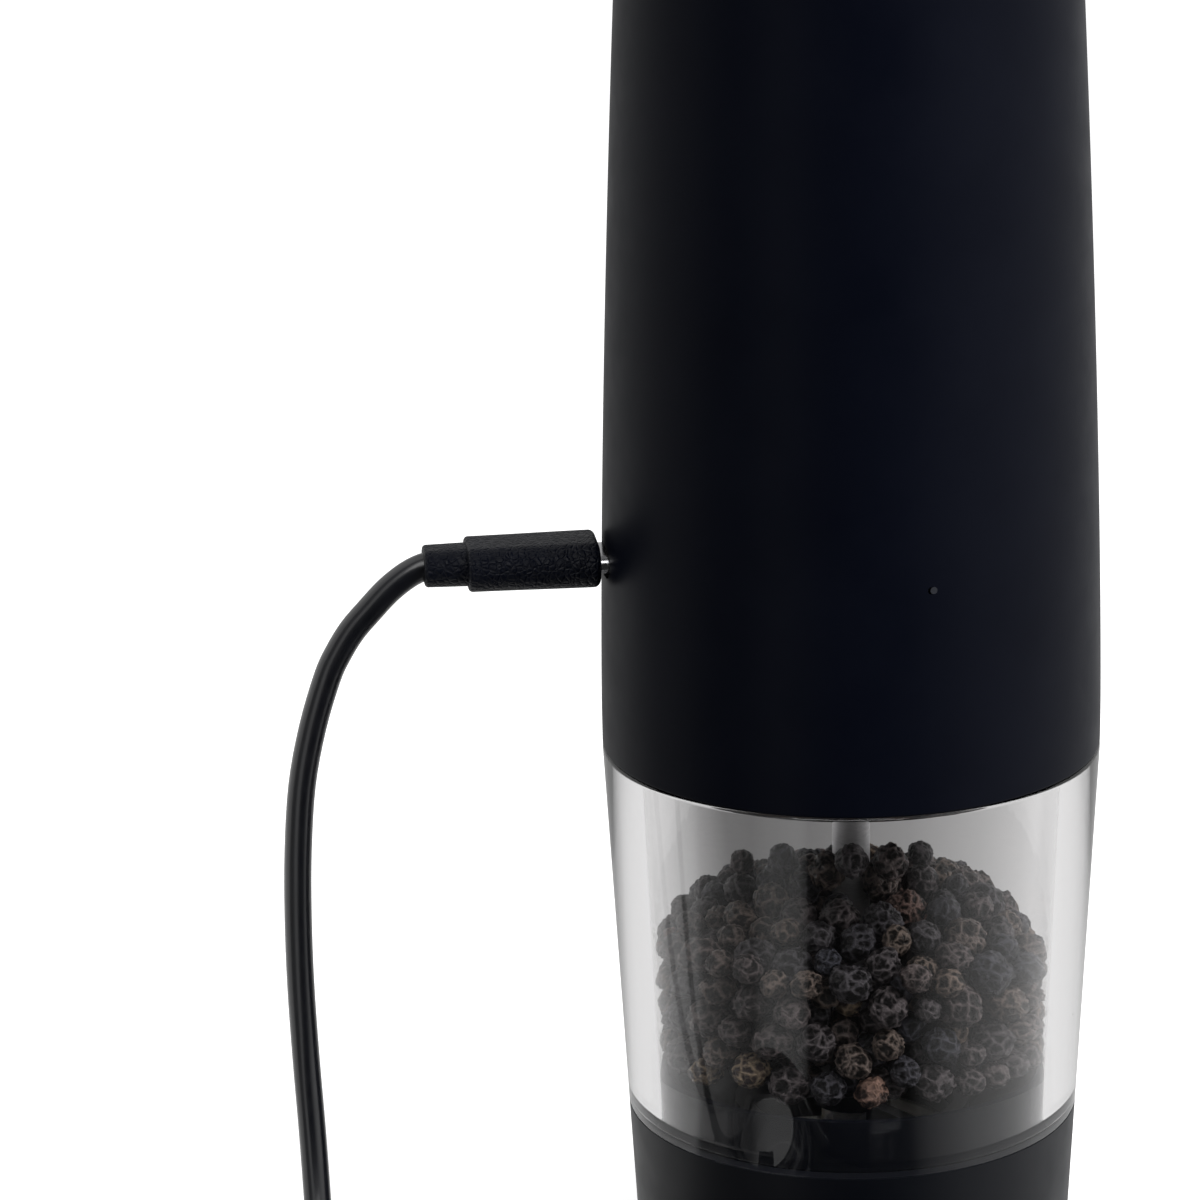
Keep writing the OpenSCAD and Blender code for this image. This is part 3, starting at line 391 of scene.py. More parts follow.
def clear_plastic():
    """Clear plastic of the jar. Lamps reach what is behind it through the Transparent shader."""
    tint = (0.985, 0.978, 0.98)
    m = Nodes("clear_jar")
    m.set(Base_Color=tint, Roughness=0.0, IOR=1.49, Transmission_Weight=1.0)
    path = m.add("ShaderNodeLightPath")
    clear = m.add("ShaderNodeBsdfTransparent")
    clear.inputs["Color"].default_value = (*tint, 1)
    mix = m.add("ShaderNodeMixShader")
    m.link(path.outputs["Is Shadow Ray"], mix.inputs[0])
    m.link(m.shader.outputs["BSDF"], mix.inputs[1])
    m.link(clear.outputs["BSDF"], mix.inputs[2])
    m.link(mix.outputs["Shader"], m.output.inputs["Surface"])
    return m.material


def peppercorn_skin():
    """Dried skin: a net of pale ridges over nearly black folds, each corn of its own tone. The ridges' paleness is
    partly real dust and partly a painted highlight, and the folds' near-black is painted shade.
    """
    m = Nodes("peppercorn")
    fold = m.add("ShaderNodeAttribute", attribute_name="ridge").outputs["Fac"]
    own = m.add("ShaderNodeNewGeometry").outputs["Random Per Island"]
    grain = m.noise(1500, 4, 0.65)
    uneven = m.warped(420, 0.9 * MM)
    net = m.range(m.cell_edges(560, uneven), 1.0, 0.0, 0.0, 0.2)
    fine_net = m.range(m.cell_edges(1250, uneven), 1.0, 0.0, 0.0, 0.22)
    nets = m.math("ADD", m.math("MULTIPLY", net, 0.5), m.math("MULTIPLY", fine_net, 0.22))
    # Lighter on the raised ridges and darker in the folds: partly real dust on the ridges, partly a painted highlight
    # on them and painted shade in the folds.
    dust_highlight_and_fold_shade = m.math("ADD", m.math("ADD", m.math("MULTIPLY", fold, 0.3), nets), m.math("MULTIPLY", grain, 0.25))
    # The dark tones are the painted shade of the folds, the light ones the ridges' dust and painted highlight; each
    # corn picks its own along both.
    dark = m.ramp(own, [(0.0, (0.001, 0.0009, 0.0013)), (0.5, (0.0018, 0.0013, 0.0013)),
                        (0.94, (0.003, 0.0022, 0.0016)), (1.0, (0.02, 0.012, 0.011))])
    light = m.ramp(own, [(0.0, (0.055, 0.057, 0.07)), (0.3, (0.09, 0.084, 0.09)), (0.6, (0.135, 0.112, 0.11)),
                         (0.9, (0.19, 0.15, 0.125)), (0.95, (0.28, 0.14, 0.13)), (1.0, (0.32, 0.25, 0.17))])
    mix = m.add("ShaderNodeMix", data_type="RGBA")
    m.link(m.range(dust_highlight_and_fold_shade, 0.0, 1.0, 0.38, 0.95), mix.inputs["Factor"])
    m.link(dark, mix.inputs["A"])
    m.link(light, mix.inputs["B"])
    m.colour(mix.outputs["Result"])
    m.set(Specular_IOR_Level=0.45)
    m.roughness(m.range(grain, 0.34, 0.58))
    m.bump(m.math("ADD", nets, m.math("MULTIPLY", grain, 0.15)), 0.32 * MM, 1.0)
    return m.material


# ---------- mesh helpers ----------

LATHE_STEPS = 192
RING_POINTS = 64
# Edges that turn by more than this are shaded as edges, on turned pieces and on lofted ones.
LATHE_SHARP = math.radians(35)
LOFT_SHARP = math.radians(40)


def new_object(name, mesh, material=None):
    """A new piece in the scene, with its one material."""
    piece = bpy.data.objects.new(name, mesh)
    bpy.context.collection.objects.link(piece)
    if material is not None:
        mesh.materials.append(material)
    return piece


def filleted(corners, steps):
    """A closed outline of (r, z, fillet) corners, each rounded by its own fillet in so many steps."""
    outline = []
    count = len(corners)
    for i, (r, z, fillet) in enumerate(corners):
        here = Vector((r, z))
        if fillet <= 0:
            outline.append((r, z))
            continue
        before = (Vector(corners[i - 1][:2]) - here).normalized()
        after = (Vector(corners[(i + 1) % count][:2]) - here).normalized()
        half = before.angle(after) / 2
        reach = fillet / math.tan(half)
        centre = here + (before + after).normalized() * (fillet / math.sin(half))
        start = here + before * reach - centre
        end = here + after * reach - centre
        turn = start.angle_signed(end)
        for k in range(steps + 1):
            spoke = start.copy()
            spoke.rotate(Matrix.Rotation(-turn * k / steps, 2))
            outline.append(tuple(centre + spoke))
    return outline


def lathe(name, outline, material):
    """Turns a closed outline of (r, z) points round the Z axis."""
    rows = len(outline)
    spin = np.arange(LATHE_STEPS) * 2 * math.pi / LATHE_STEPS
    points = np.array(outline)
    places = np.empty((LATHE_STEPS, rows, 3))
    places[..., 0] = np.cos(spin)[:, None] * points[None, :, 0]
    places[..., 1] = np.sin(spin)[:, None] * points[None, :, 0]
    places[..., 2] = points[None, :, 1]
    faces = []
    for s in range(LATHE_STEPS):
        here, following = s * rows, (s + 1) % LATHE_STEPS * rows
        for k in range(rows):
            up = (k + 1) % rows
            faces.append((here + k, following + k, following + up, here + up))
    mesh = bpy.data.meshes.new(name)
    mesh.from_pydata(places.reshape(-1, 3).tolist(), [], faces)
    weld(mesh)
    shade(mesh, LATHE_SHARP)
    return new_object(name, mesh, material)


def weld(mesh):
    """Joins points that share a place, and turns the faces outward."""
    work = bmesh.new()
    work.from_mesh(mesh)
    bmesh.ops.remove_doubles(work, verts=work.verts, dist=1e-7)
    bmesh.ops.recalc_face_normals(work, faces=work.faces)
    work.to_mesh(mesh)
    work.free()


def shade(mesh, sharp):
    """Smooth shading, but for edges that turn by more than the sharp angle."""
    mesh.shade_smooth()
    mesh.set_sharp_from_angle(angle=sharp)


def slot_ring(width, thickness):
    """Points of an outline with round ends, width along Y and thickness along Z."""
    flat = (width - thickness) / 2
    ring = []
    for i in range(RING_POINTS):
        a = 2 * math.pi * (i + 0.5) / RING_POINTS
        y = thickness / 2 * math.cos(a)
        ring.append((y + math.copysign(flat, math.cos(a)), thickness / 2 * math.sin(a)))
    return ring


def loft(name, sections, material=None):
    """A closed skin over slot-shaped sections along X at the socket's height: (x, width, thickness) each."""
    points = []
    for x, width, thickness in sections:
        points += [(x, y, PORT_Z + z) for y, z in slot_ring(width, thickness)]
    faces = sleeve(len(sections), RING_POINTS)
    for s in (0, len(sections) - 1):
        faces.append(tuple(s * RING_POINTS + k for k in range(RING_POINTS)))
    mesh = bpy.data.meshes.new(name)
    mesh.from_pydata(points, [], faces)
    weld(mesh)
    shade(mesh, LOFT_SHARP)
    return new_object(name, mesh, material)


def rounded_end(end, edge, width, thickness, count):
    """Sections that round the edge of a moulding's end, the end face first. A negative edge goes toward -X."""
    sections = []
    for a in np.linspace(0, 90, count):
        drop = abs(edge) * (1 - math.sin(math.radians(a)))
        sections.append((end + edge * (1 - math.cos(math.radians(a))), width - 2 * drop, thickness - 2 * drop))
    return sections


def sleeve(rings, sides):
    """Faces between each ring of points and the next."""
    faces = []
    for s in range(rings - 1):
        for k in range(sides):
            j = (k + 1) % sides
            faces.append((s * sides + k, s * sides + j, (s + 1) * sides + j, (s + 1) * sides + k))
    return faces


def tube(name, path, radius, sides, material):
    """A round tube along a path, its rings turned as little as possible from one to the next."""
    side = Vector((0, 1, 0))
    points = []
    for i, place in enumerate(path):
        ahead = (path[min(i + 1, len(path) - 1)] - path[max(i - 1, 0)]).normalized()
        side = (side - ahead * side.dot(ahead)).normalized()
        up = ahead.cross(side)
        for k in range(sides):
            a = 2 * math.pi * k / sides
            points.append(place + (side * math.cos(a) + up * math.sin(a)) * radius)
    faces = sleeve(len(path), sides)
    last = (len(path) - 1) * sides
    faces.append(tuple(range(sides))[::-1])
    faces.append(tuple(last + k for k in range(sides)))
    mesh = bpy.data.meshes.new(name)
    mesh.from_pydata(points, [], faces)
    mesh.polygons.foreach_set("use_smooth", [len(f) == 4 for f in faces])
    return new_object(name, mesh, material)


def cut(piece, cutter):
    """Takes the cutter's shape out of the piece, and the cutter out of the scene."""
    change = piece.modifiers.new("cut", "BOOLEAN")
    change.operation = "DIFFERENCE"
    change.solver = "EXACT"
    change.object = cutter
    bpy.context.view_layer.update()
    seen = piece.evaluated_get(bpy.context.evaluated_depsgraph_get())
    mesh = bpy.data.meshes.new_from_object(seen)
    piece.modifiers.clear()
    piece.data = mesh
    bpy.data.objects.remove(cutter)


# ---------- black motor unit ----------


def lamp_hole():
    """Cutter for the small hole in front of the light guide."""
    low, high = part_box("light_guide")
    turn = math.atan2(low[1] + high[1], low[0] + high[0])
    work = bmesh.new()
    bmesh.ops.create_cone(
        work, cap_ends=True, segments=32, radius1=LAMP_HOLE_R, radius2=LAMP_HOLE_R, depth=10 * MM
    )
    mesh = bpy.data.meshes.new("cutter")
    work.to_mesh(mesh)
    work.free()
    outward = Matrix.Rotation(turn, 4, "Z") @ Matrix.Translation((RIM_R, 0, (low[2] + high[2]) / 2))
    mesh.transform(outward @ Matrix.Rotation(math.pi / 2, 4, "Y"))
    return new_object("cutter", mesh)


def add_body(material):
    """Outer skin, crown with the button's hole, bore, and the openings for the plug and the charging lamp."""
    side_top = CROWN_Z - CROWN_FILLET - MM
    bore_top = CROWN_Z - 3 * CROWN_FILLET
    corners = [
        (body_radius(RIM_Z) - SHELL_WALL, RIM_Z, 0.3 * MM),
        (body_radius(RIM_Z), RIM_Z, 0.35 * MM),
        *[(body_radius(z), z, 0) for z in np.linspace(RIM_Z + 0.6 * MM, side_top, 40)],
        (CROWN_R, CROWN_Z, CROWN_FILLET),
        (BUTTON_R + BUTTON_PLAY, CROWN_Z, 0.35 * MM),
        (BUTTON_R + BUTTON_PLAY, CROWN_Z - CROWN_WALL, 0.2 * MM),
        (CROWN_R - SHELL_WALL, CROWN_Z - CROWN_WALL, 2 * MM),
        *[(body_radius(z) - SHELL_WALL, z, 0) for z in np.linspace(bore_top, RIM_Z + 2 * MM, 24)],
    ]
    body = lathe("body_skin", filleted(corners, steps=8), material)
    cut(body, loft("cutter", [(x, PORT_WIDTH, PORT_HEIGHT) for x in (-RIM_R - MM, -RIM_R + 5 * MM)]))
    cut(body, lamp_hole())
    shade(body.data, LATHE_SHARP)
    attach(body, "motor_unit")
    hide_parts("body_shell")


# ---------- clear jar ----------


def add_jar(material):
    """Thick clear wall in line with the body and the foot, with a neck that goes up inside the body."""
    neck_r = body_radius(RIM_Z) - SHELL_WALL - NECK_GAP
    corners = [
        (lower_radius(BASE_H), BASE_H, 0.3 * MM),
        (lower_radius(RIM_Z), RIM_Z, 0.5 * MM),
        (neck_r, RIM_Z, 0.4 * MM),
        (neck_r, NECK_TOP, 0.6 * MM),
        (RIM_R - JAR_WALL, NECK_TOP, 0.5 * MM),
        *[(inner_radius(z), z, 0) for z in (RIM_Z - 2 * MM, BASE_H + 2 * MM)],
        (inner_radius(BASE_H), BASE_H, 0.3 * MM),
    ]
    jar = lathe("clear_jar", filleted(corners, steps=6), material)
    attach(jar, "jar_unit")
    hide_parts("jar")


# ---------- peppercorns ----------

CORN_R = (1.8 * MM, 2.95 * MM)
CORN_COUNT = 450
CORN_KINDS = 16
CORN_PIECES = 8
# for the corns' places and turns, and for their folds: an unseeded noise_vector starts from the clock
CORN_SEED = 11
HEAP_TOP = RIM_Z - 14.3 * MM
HEAP_LOW = BASE_H + 8 * MM
HEAP_SLOPE = 0.3
HEAP_SPREAD = 25
# Where the heap falls away at each side of the view: where it starts, over what distance, for how many times that
# distance at most, and by how much. These distances and the spread are in millimetres.
FALL_LEFT = (21.5, 6, 1.2, 7.5)
FALL_RIGHT = (16, 10, 1, 5)
FALL_POWER = 1.2
BACK_DIP = 4 * MM
BACK_DIP_OVER = 26 * MM
# Loose corns on top: across the view, away from the camera, radius. All in millimetres.
CREST = [(-14.4, 0.5, 1.85), (2.6, -6.4, 1.7), (9.1, -2, 1.75), (-3.4, -6.6, 2.6), (4.6, -8.8, 2.4), (-0.4, -9.6, 2.3),
         (-9, -3, 2.3)]
CREST_SINK = 0.15 * MM
SHAFT_ROOM = 2.7 * MM
WALL_GAP = 0.1 * MM
# Each step of the settling takes this share of every overlap away, and for most of the steps the corns also sink.
SETTLE_STEPS = 200
SETTLE_PUSH = 0.4
SETTLE_SINK = 0.02 * MM
SINKING_SHARE = 0.8
# Corns this near the heap's surface get fine shapes, and those deeper than the other are left out.
FINE_DEPTH = 2.2 * MM
HIDDEN_DEPTH = 9 * MM
FINE_LEVEL, PLAIN_LEVEL = 4, 3
# A corn of radius 1: where the noise is read for each kind, its scales, and how far each kind of unevenness reaches.
KIND_SHIFT = (7.3, 3.1, 5.7)
CELL_SCALE = 2.3
CELL_WARP_SCALE, CELL_WARP = 2.2, 0.35
FOLD_WIDTH, FOLD_POWER = 0.34, 0.7
LUMP_SCALE = 1.3
GRAIN_SCALE = 6
CORE, RIDGE_RISE, LUMP_RISE, GRAIN_RISE = 0.86, 0.15, 0.12, 0.05
GRAIN_IN_RIDGE = 0.3


def fall(distance, start, over, most, drop):
    """How much lower the heap is at a distance across the view."""
    return np.clip((distance - start * MM) / (over * MM), 0, most) ** FALL_POWER * drop * MM


def heap_height(x, y):
    """Top of the heap: a low cone, lower at the back and at both sides of the camera's view."""
    across = x * math.cos(CAMERA_TURN) + y * math.sin(CAMERA_TURN)
    behind = y * math.cos(CAMERA_TURN) - x * math.sin(CAMERA_TURN)
    back = np.clip(behind / BACK_DIP_OVER, 0, 1) * BACK_DIP
    left = fall(-across, *FALL_LEFT)
    right = fall(across, *FALL_RIGHT)
    return HEAP_TOP - HEAP_SLOPE * np.hypot(x, y) - left - right - back


def settle_corns(rng):
    """Places and radii of the corns, pushed apart until they only touch, inside the jar and round the shaft."""
    radii = rng.uniform(*CORN_R, CORN_COUNT)
    turn = rng.uniform(0, 2 * math.pi, CORN_COUNT)
    out = np.sqrt(rng.uniform(0.02, 1, CORN_COUNT)) * HEAP_SPREAD * MM
    places = np.stack([out * np.cos(turn), out * np.sin(turn), rng.uniform(HEAP_LOW, HEAP_TOP, CORN_COUNT)], 1)
    near = radii[:, None] + radii[None]
    np.fill_diagonal(near, 0)
    for step in range(SETTLE_STEPS):
        gap = places[:, None] - places[None]
        far = np.sqrt((gap**2).sum(-1))
        np.fill_diagonal(far, 1)
        depth = np.clip(near - far, 0, None)
        places += (gap / far[..., None] * depth[..., None] * SETTLE_PUSH).sum(1)
        if step < SETTLE_STEPS * SINKING_SHARE:
            places[:, 2] -= SETTLE_SINK
        radius = np.hypot(places[:, 0], places[:, 1])
        wanted = np.clip(radius, SHAFT_ROOM + radii, inner_radius(places[:, 2]) - radii - WALL_GAP)
        places[:, :2] *= (wanted / np.maximum(radius, 1e-6))[:, None]
        top = np.maximum(heap_height(places[:, 0], places[:, 1]), HEAP_LOW + 2 * radii) - radii
        places[:, 2] = np.clip(places[:, 2], HEAP_LOW + radii, top)
    return places, radii


def add_crest(places, radii):
    """The loose corns that lie on top of the heap, each let down until it rests on the others."""
    for across, behind, r in CREST:
        x = (across * math.cos(CAMERA_TURN) - behind * math.sin(CAMERA_TURN)) * MM
        y = (across * math.sin(CAMERA_TURN) + behind * math.cos(CAMERA_TURN)) * MM
        r *= MM
        beside = np.hypot(places[:, 0] - x, places[:, 1] - y)
        reach = (radii + r) ** 2 - beside**2
        under = reach > 0
        z = (places[under, 2] + np.sqrt(reach[under])).max() - CREST_SINK
        places = np.vstack([places, (x, y, z)])
        radii = np.append(radii, r)
    return places, radii


def corn_shape(kind, level):
    """Points, faces and ridge heights of one wrinkled corn of radius 1. Cells of noise make its folds."""
    work = bmesh.new()
    bmesh.ops.create_icosphere(work, subdivisions=level, radius=1)
    points = np.array([v.co for v in work.verts])
    faces = np.array([[v.index for v in f.verts] for f in work.faces])
    work.free()
    shift = Vector([kind * step for step in KIND_SHIFT])
    stretch = np.array([1.0, 1.0 - 0.06 * (kind % 3), 1.0 - 0.05 * (kind % 4)])
    ridges = np.empty(len(points))
    for i, p in enumerate(points):
        at = Vector(p)
        warped = at * CELL_SCALE + shift + noise.noise_vector(at * CELL_WARP_SCALE + shift) * CELL_WARP
        nearest = noise.voronoi(warped)[0]
        edge = nearest[1] - nearest[0]
        ridge = 1 - min(edge / FOLD_WIDTH, 1) ** FOLD_POWER
        lump = noise.noise(at * LUMP_SCALE + shift * 2)
        grain = noise.noise(at * GRAIN_SCALE + shift)
        ridges[i] = min(max(ridge + GRAIN_IN_RIDGE * grain, 0), 1)
        points[i] = p * (CORE + RIDGE_RISE * ridge + LUMP_RISE * lump + GRAIN_RISE * grain)
    return points * stretch, faces, ridges


def triangle_piece(name, points, faces, material):
    """A smooth piece from arrays of points and triangles."""
    mesh = bpy.data.meshes.new(name)
    mesh.vertices.add(len(points))
    mesh.vertices.foreach_set("co", points.astype(np.float32).ravel())
    mesh.loops.add(faces.size)
    mesh.loops.foreach_set("vertex_index", faces.astype(np.int32).ravel())
    mesh.polygons.add(len(faces))
    mesh.polygons.foreach_set("loop_start", np.arange(0, faces.size, 3, dtype=np.int32))
    mesh.update(calc_edges=True)
    mesh.validate()
    mesh.shade_smooth()
    return new_object(name, mesh, material)


def add_corns(material):
    """The whole fill, cut into pieces by height. Each corn is a turned and scaled copy of one of the shapes."""
    rng = np.random.default_rng(CORN_SEED)
    noise.seed_set(CORN_SEED)
    places, radii = settle_corns(rng)
    fine_shapes = [corn_shape(k, FINE_LEVEL) for k in range(CORN_KINDS)]
    plain_shapes = [corn_shape(k, PLAIN_LEVEL) for k in range(CORN_KINDS)]
    places, radii = add_crest(places, radii)
    radius = np.hypot(places[:, 0], places[:, 1])
    wall = inner_radius(places[:, 2]) - radii
    depth = np.minimum(wall - radius, heap_height(places[:, 0], places[:, 1]) - radii - places[:, 2])
    order = np.argsort(places[:, 2])
    for part, members in enumerate(np.array_split(order, CORN_PIECES)):
        points, faces, ridges = [], [], []
        count = 0
        for i in members:
            if depth[i] > HIDDEN_DEPTH:
                continue
            shapes = fine_shapes if depth[i] < FINE_DEPTH else plain_shapes
            shape, triangles, ridge = shapes[rng.integers(CORN_KINDS)]
            turn = np.array(Quaternion(rng.normal(size=4)).normalized().to_matrix())
            points.append(shape @ turn.T * radii[i] + places[i])
            faces.append(triangles + count)
            ridges.append(ridge)
            count += len(shape)
        piece = triangle_piece(f"peppercorns_{part + 1}", np.vstack(points), np.vstack(faces), material)
        layer = piece.data.attributes.new("ridge", "FLOAT", "POINT")
        layer.data.foreach_set("value", np.concatenate(ridges).astype(np.float32))
        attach(piece, "jar_unit")
        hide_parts("peppercorns")


# ---------- wound springs ----------

SPRING_STEPS = 24
SPRING_SIDES = 12
# Each end of a spring lies nearly flat for half a turn, and a spring rises steadily for this share of its height.
FLAT_TURNS = 0.5
STEADY_RISE = 0.65
WIRE_PLAY = 0.98


def add_spring(node, body, wire, turns, material):
    """A wound wire with closed ends in the place of a plain CAD spring."""
    low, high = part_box(node)
    length = high[2] - low[2]
    radius = (high[0] - low[0] - wire) / 2
    path = []
    for t in np.linspace(0, 1, int(turns * SPRING_STEPS) + 1):
        a = math.pi / 2 + 2 * math.pi * turns * t
        share = np.clip((t * turns - FLAT_TURNS) / (turns - 2 * FLAT_TURNS), 0, 1)
        rise = smooth_step(share) * (1 - STEADY_RISE) + share * STEADY_RISE
        path.append(Vector((radius * math.cos(a), radius * math.sin(a), low[2] + wire / 2 + (length - wire) * rise)))
    spring = tube(f"{node}_wire", path, wire / 2 * WIRE_PLAY, SPRING_SIDES, material)
    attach(spring, body)
    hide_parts(node)
    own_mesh(spring)


# ---------- plug and strain relief ----------

PLUG_EDGE = 0.55 * MM
PLUG_FRONT_EDGE = 0.9 * MM
PLUG_DOME = 0.12 * MM
PLUG_TAPER = 0.035
RELIEF_EDGE = 0.5 * MM
RELIEF_TAPER = 0.03


def add_plug(material):
    """Moulding of the plug: rounded edges at both ends, its body end gently domed, a slight taper to the cord."""
    x0, x1 = PLUG_LOW[0], PLUG_HIGH[0]
    width, thick = PLUG_HIGH[1] - PLUG_LOW[1], PLUG_HIGH[2] - PLUG_LOW[2]
    narrow = 1 - PLUG_TAPER
    sections = [(x0, width * 0.3, thick * 0.3)]
    sections += rounded_end(x0, PLUG_EDGE, width * narrow, thick * narrow, 7)
    for t in np.linspace(0.12, 0.88, 8):
        grow = narrow + PLUG_TAPER * smooth_step(t)
        sections.append((x0 + (x1 - x0) * t, width * grow, thick * grow))
    sections += rounded_end(x1, -PLUG_FRONT_EDGE, width, thick, 9)[::-1]
    sections.append((x1 + PLUG_DOME, width * 0.45, thick * 0.4))
    plug = loft("plug_moulding", sections, material)
    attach(plug, "charging_lead")
    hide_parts("plug_body")
    return plug


def add_relief(material):
    """Sleeve between the plug and the lead, a little narrower at the lead."""
    x0, x1 = RELIEF_LOW[0], RELIEF_HIGH[0]
    width, thick = RELIEF_HIGH[1] - RELIEF_LOW[1], RELIEF_HIGH[2] - RELIEF_LOW[2]
    narrow = 1 - RELIEF_TAPER
    sections = [*rounded_end(x0, RELIEF_EDGE, width * narrow, thick * narrow, 7), (x1, width, thick)]
    relief = loft("relief_moulding", sections, material)
    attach(relief, "charging_lead")
    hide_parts("strain_relief")
    return relief


# ---------- stage and light ----------

LAMP_AIM = Vector((0, 0, 0.09))
FLOOR_REACH = 6.0
# The lamps add the rest of the floor's white, so that a shadow still shows on it.
FLOOR_GLOW = 0.55


def toward(azimuth, elevation, distance):
    """A place seen from the mill: azimuth 0 is where the camera stands, positive to the camera's right."""
    a = math.radians(azimuth) + CAMERA_TURN
    e = math.radians(elevation)
    return Vector((math.sin(a) * math.cos(e), -math.cos(a) * math.cos(e), math.sin(e))) * distance


def add_lamp(name, azimuth, elevation, distance, width, height, power, glossy=False):
    """An area lamp aimed at the middle of the mill. Only a glossy one shows in reflections."""
    data = bpy.data.lights.new(name, "AREA")
    data.shape = "RECTANGLE"
    data.size = width
    data.size_y = height
    data.energy = power
    lamp = bpy.data.objects.new(name, data)
    bpy.context.collection.objects.link(lamp)
    lamp.location = LAMP_AIM + toward(azimuth, elevation, distance)
    lamp.rotation_mode = "QUATERNION"
    lamp.rotation_quaternion = (lamp.location - LAMP_AIM).to_track_quat("Z", "Y")
    lamp.visible_camera = False
    lamp.visible_glossy = glossy
    lamp.visible_transmission = False


# Azimuth round the mill from the camera's side, positive to its right, and the studio's brightness there: what
# mirrors show, and what shows through clear plastic. It is dark round the camera and pale at the sides.
STUDIO = [
    (-180, 0.45), (-150, 0.5), (-125, 0.82), (-108, 0.75), (-84, 0.7), (-76, 0.75), (-72, 0.15), (-46, 0.15),
    (-43, 0.45), (-38, 0.75), (-26, 0.75), (-23, 0.45), (-21, 0.02), (22, 0.02), (30, 0.3), (50, 0.8), (90, 1.0),
    (130, 0.7), (180, 0.45),
]
BACKDROP = [
    (-180, 0.19), (-175, 0.14), (-170, 0.16), (-163, 0.4), (-150, 0.7), (-100, 0.8), (-60, 0.2), (-22, 0.02),
    (22, 0.02), (60, 0.3), (100, 0.8), (150, 0.7), (165, 0.4), (173, 0.28), (180, 0.19),
]


def around(tree, vector, levels):
    """Brightness by azimuth in a direction, or at a place, seen from the mill."""
    turned = tree.nodes.new("ShaderNodeVectorRotate")
    turned.rotation_type = "Z_AXIS"
    turned.inputs["Angle"].default_value = math.pi / 2 - CAMERA_TURN
    tree.links.new(vector, turned.inputs["Vector"])
    parts = tree.nodes.new("ShaderNodeSeparateXYZ")
    tree.links.new(turned.outputs["Vector"], parts.inputs["Vector"])
    angle = tree.nodes.new("ShaderNodeMath")
    angle.operation = "ARCTAN2"
    tree.links.new(parts.outputs["Y"], angle.inputs[0])
    tree.links.new(parts.outputs["X"], angle.inputs[1])
    share = tree.nodes.new("ShaderNodeMapRange")
    share.inputs["From Min"].default_value = -math.pi
    share.inputs["From Max"].default_value = math.pi
    tree.links.new(angle.outputs["Value"], share.inputs["Value"])
    ramp = tree.nodes.new("ShaderNodeValToRGB")
    ends = ramp.color_ramp.elements
    while len(ends) < len(levels):
        ends.new(0.5)
    for end, (degrees, level) in zip(ends, levels):
        end.position = (degrees + 180) / 360
        end.color = (level, level, level, 1)
    tree.links.new(share.outputs["Result"], ramp.inputs["Fac"])
    return ramp.outputs["Color"]


def ray_mix(tree, vector, camera):
    """Brightness for each kind of ray: the camera's, those through clear plastic, and all others."""
    path = tree.nodes.new("ShaderNodeLightPath")
    value = around(tree, vector, STUDIO)
    for flag, level in (("Is Transmission Ray", around(tree, vector, BACKDROP)), ("Is Camera Ray", camera)):
        mix = tree.nodes.new("ShaderNodeMix")
        tree.links.new(path.outputs[flag], mix.inputs["Factor"])
        tree.links.new(value, mix.inputs["A"])
        if isinstance(level, float):
            mix.inputs["B"].default_value = level
        else:
            tree.links.new(level, mix.inputs["B"])
        value = mix.outputs["Result"]
    return value


def add_stage():
    """White floor, seen from above only. It keeps the mill's shadow, and mirrors see the studio in it."""
    mesh = bpy.data.meshes.new("floor")
    corners = [(x * FLOOR_REACH, y * FLOOR_REACH, 0) for x, y in ((-1, -1), (1, -1), (1, 1), (-1, 1))]
    mesh.from_pydata(corners, [], [(0, 1, 2, 3)])
    m = Nodes("white_floor")
    m.set(Base_Color=(0.8, 0.8, 0.8), Roughness=0.9, Specular_IOR_Level=0.0)
    glow = m.add("ShaderNodeEmission")
    m.link(ray_mix(m.tree, m.place, FLOOR_GLOW), glow.inputs["Strength"])
    plain = m.add("ShaderNodeAddShader")
    m.link(m.shader.outputs["BSDF"], plain.inputs[0])
    m.link(glow.outputs["Emission"], plain.inputs[1])
    path = m.add("ShaderNodeLightPath")
    mix = m.add("ShaderNodeMixShader")
    m.link(path.outputs["Is Camera Ray"], mix.inputs[0])
    m.link(glow.outputs["Emission"], mix.inputs[1])
    m.link(plain.outputs["Shader"], mix.inputs[2])
    below = m.add("ShaderNodeMixShader")
    m.link(m.add("ShaderNodeNewGeometry").outputs["Backfacing"], below.inputs[0])
    m.link(mix.outputs["Shader"], below.inputs[1])
    m.link(m.add("ShaderNodeBsdfTransparent").outputs["BSDF"], below.inputs[2])
    m.link(below.outputs["Shader"], m.output.inputs["Surface"])
    new_object("floor", mesh, m.material)


def add_world():
    """White to the camera. Mirrors get the studio, and clear plastic a softer backdrop."""
    world = bpy.data.worlds.new("studio")
    bpy.context.scene.world = world
    world.use_nodes = True
    tree = world.node_tree
    place = tree.nodes.new("ShaderNodeTexCoord").outputs["Generated"]
    strength = ray_mix(tree, place, 1.0)
    tree.links.new(strength, tree.nodes["Background"].inputs["Strength"])
    tree.nodes["Background"].inputs["Color"].default_value = (1, 1, 1, 1)


def add_light():
    """The studio, a key lamp from the right, and two softer lamps from above."""
    add_world()
    # degrees to the right and up, then distance, width and height in metres, then watts
    add_lamp("key_right", 60, 38, 0.6, 0.4, 0.6, 4.6)
    add_lamp("front_high", -4, 46, 0.75, 0.6, 0.35, 1.6, glossy=True)
    add_lamp("top", 0, 75, 0.8, 0.7, 0.7, 2.0)


# ---------- materials by slot ----------


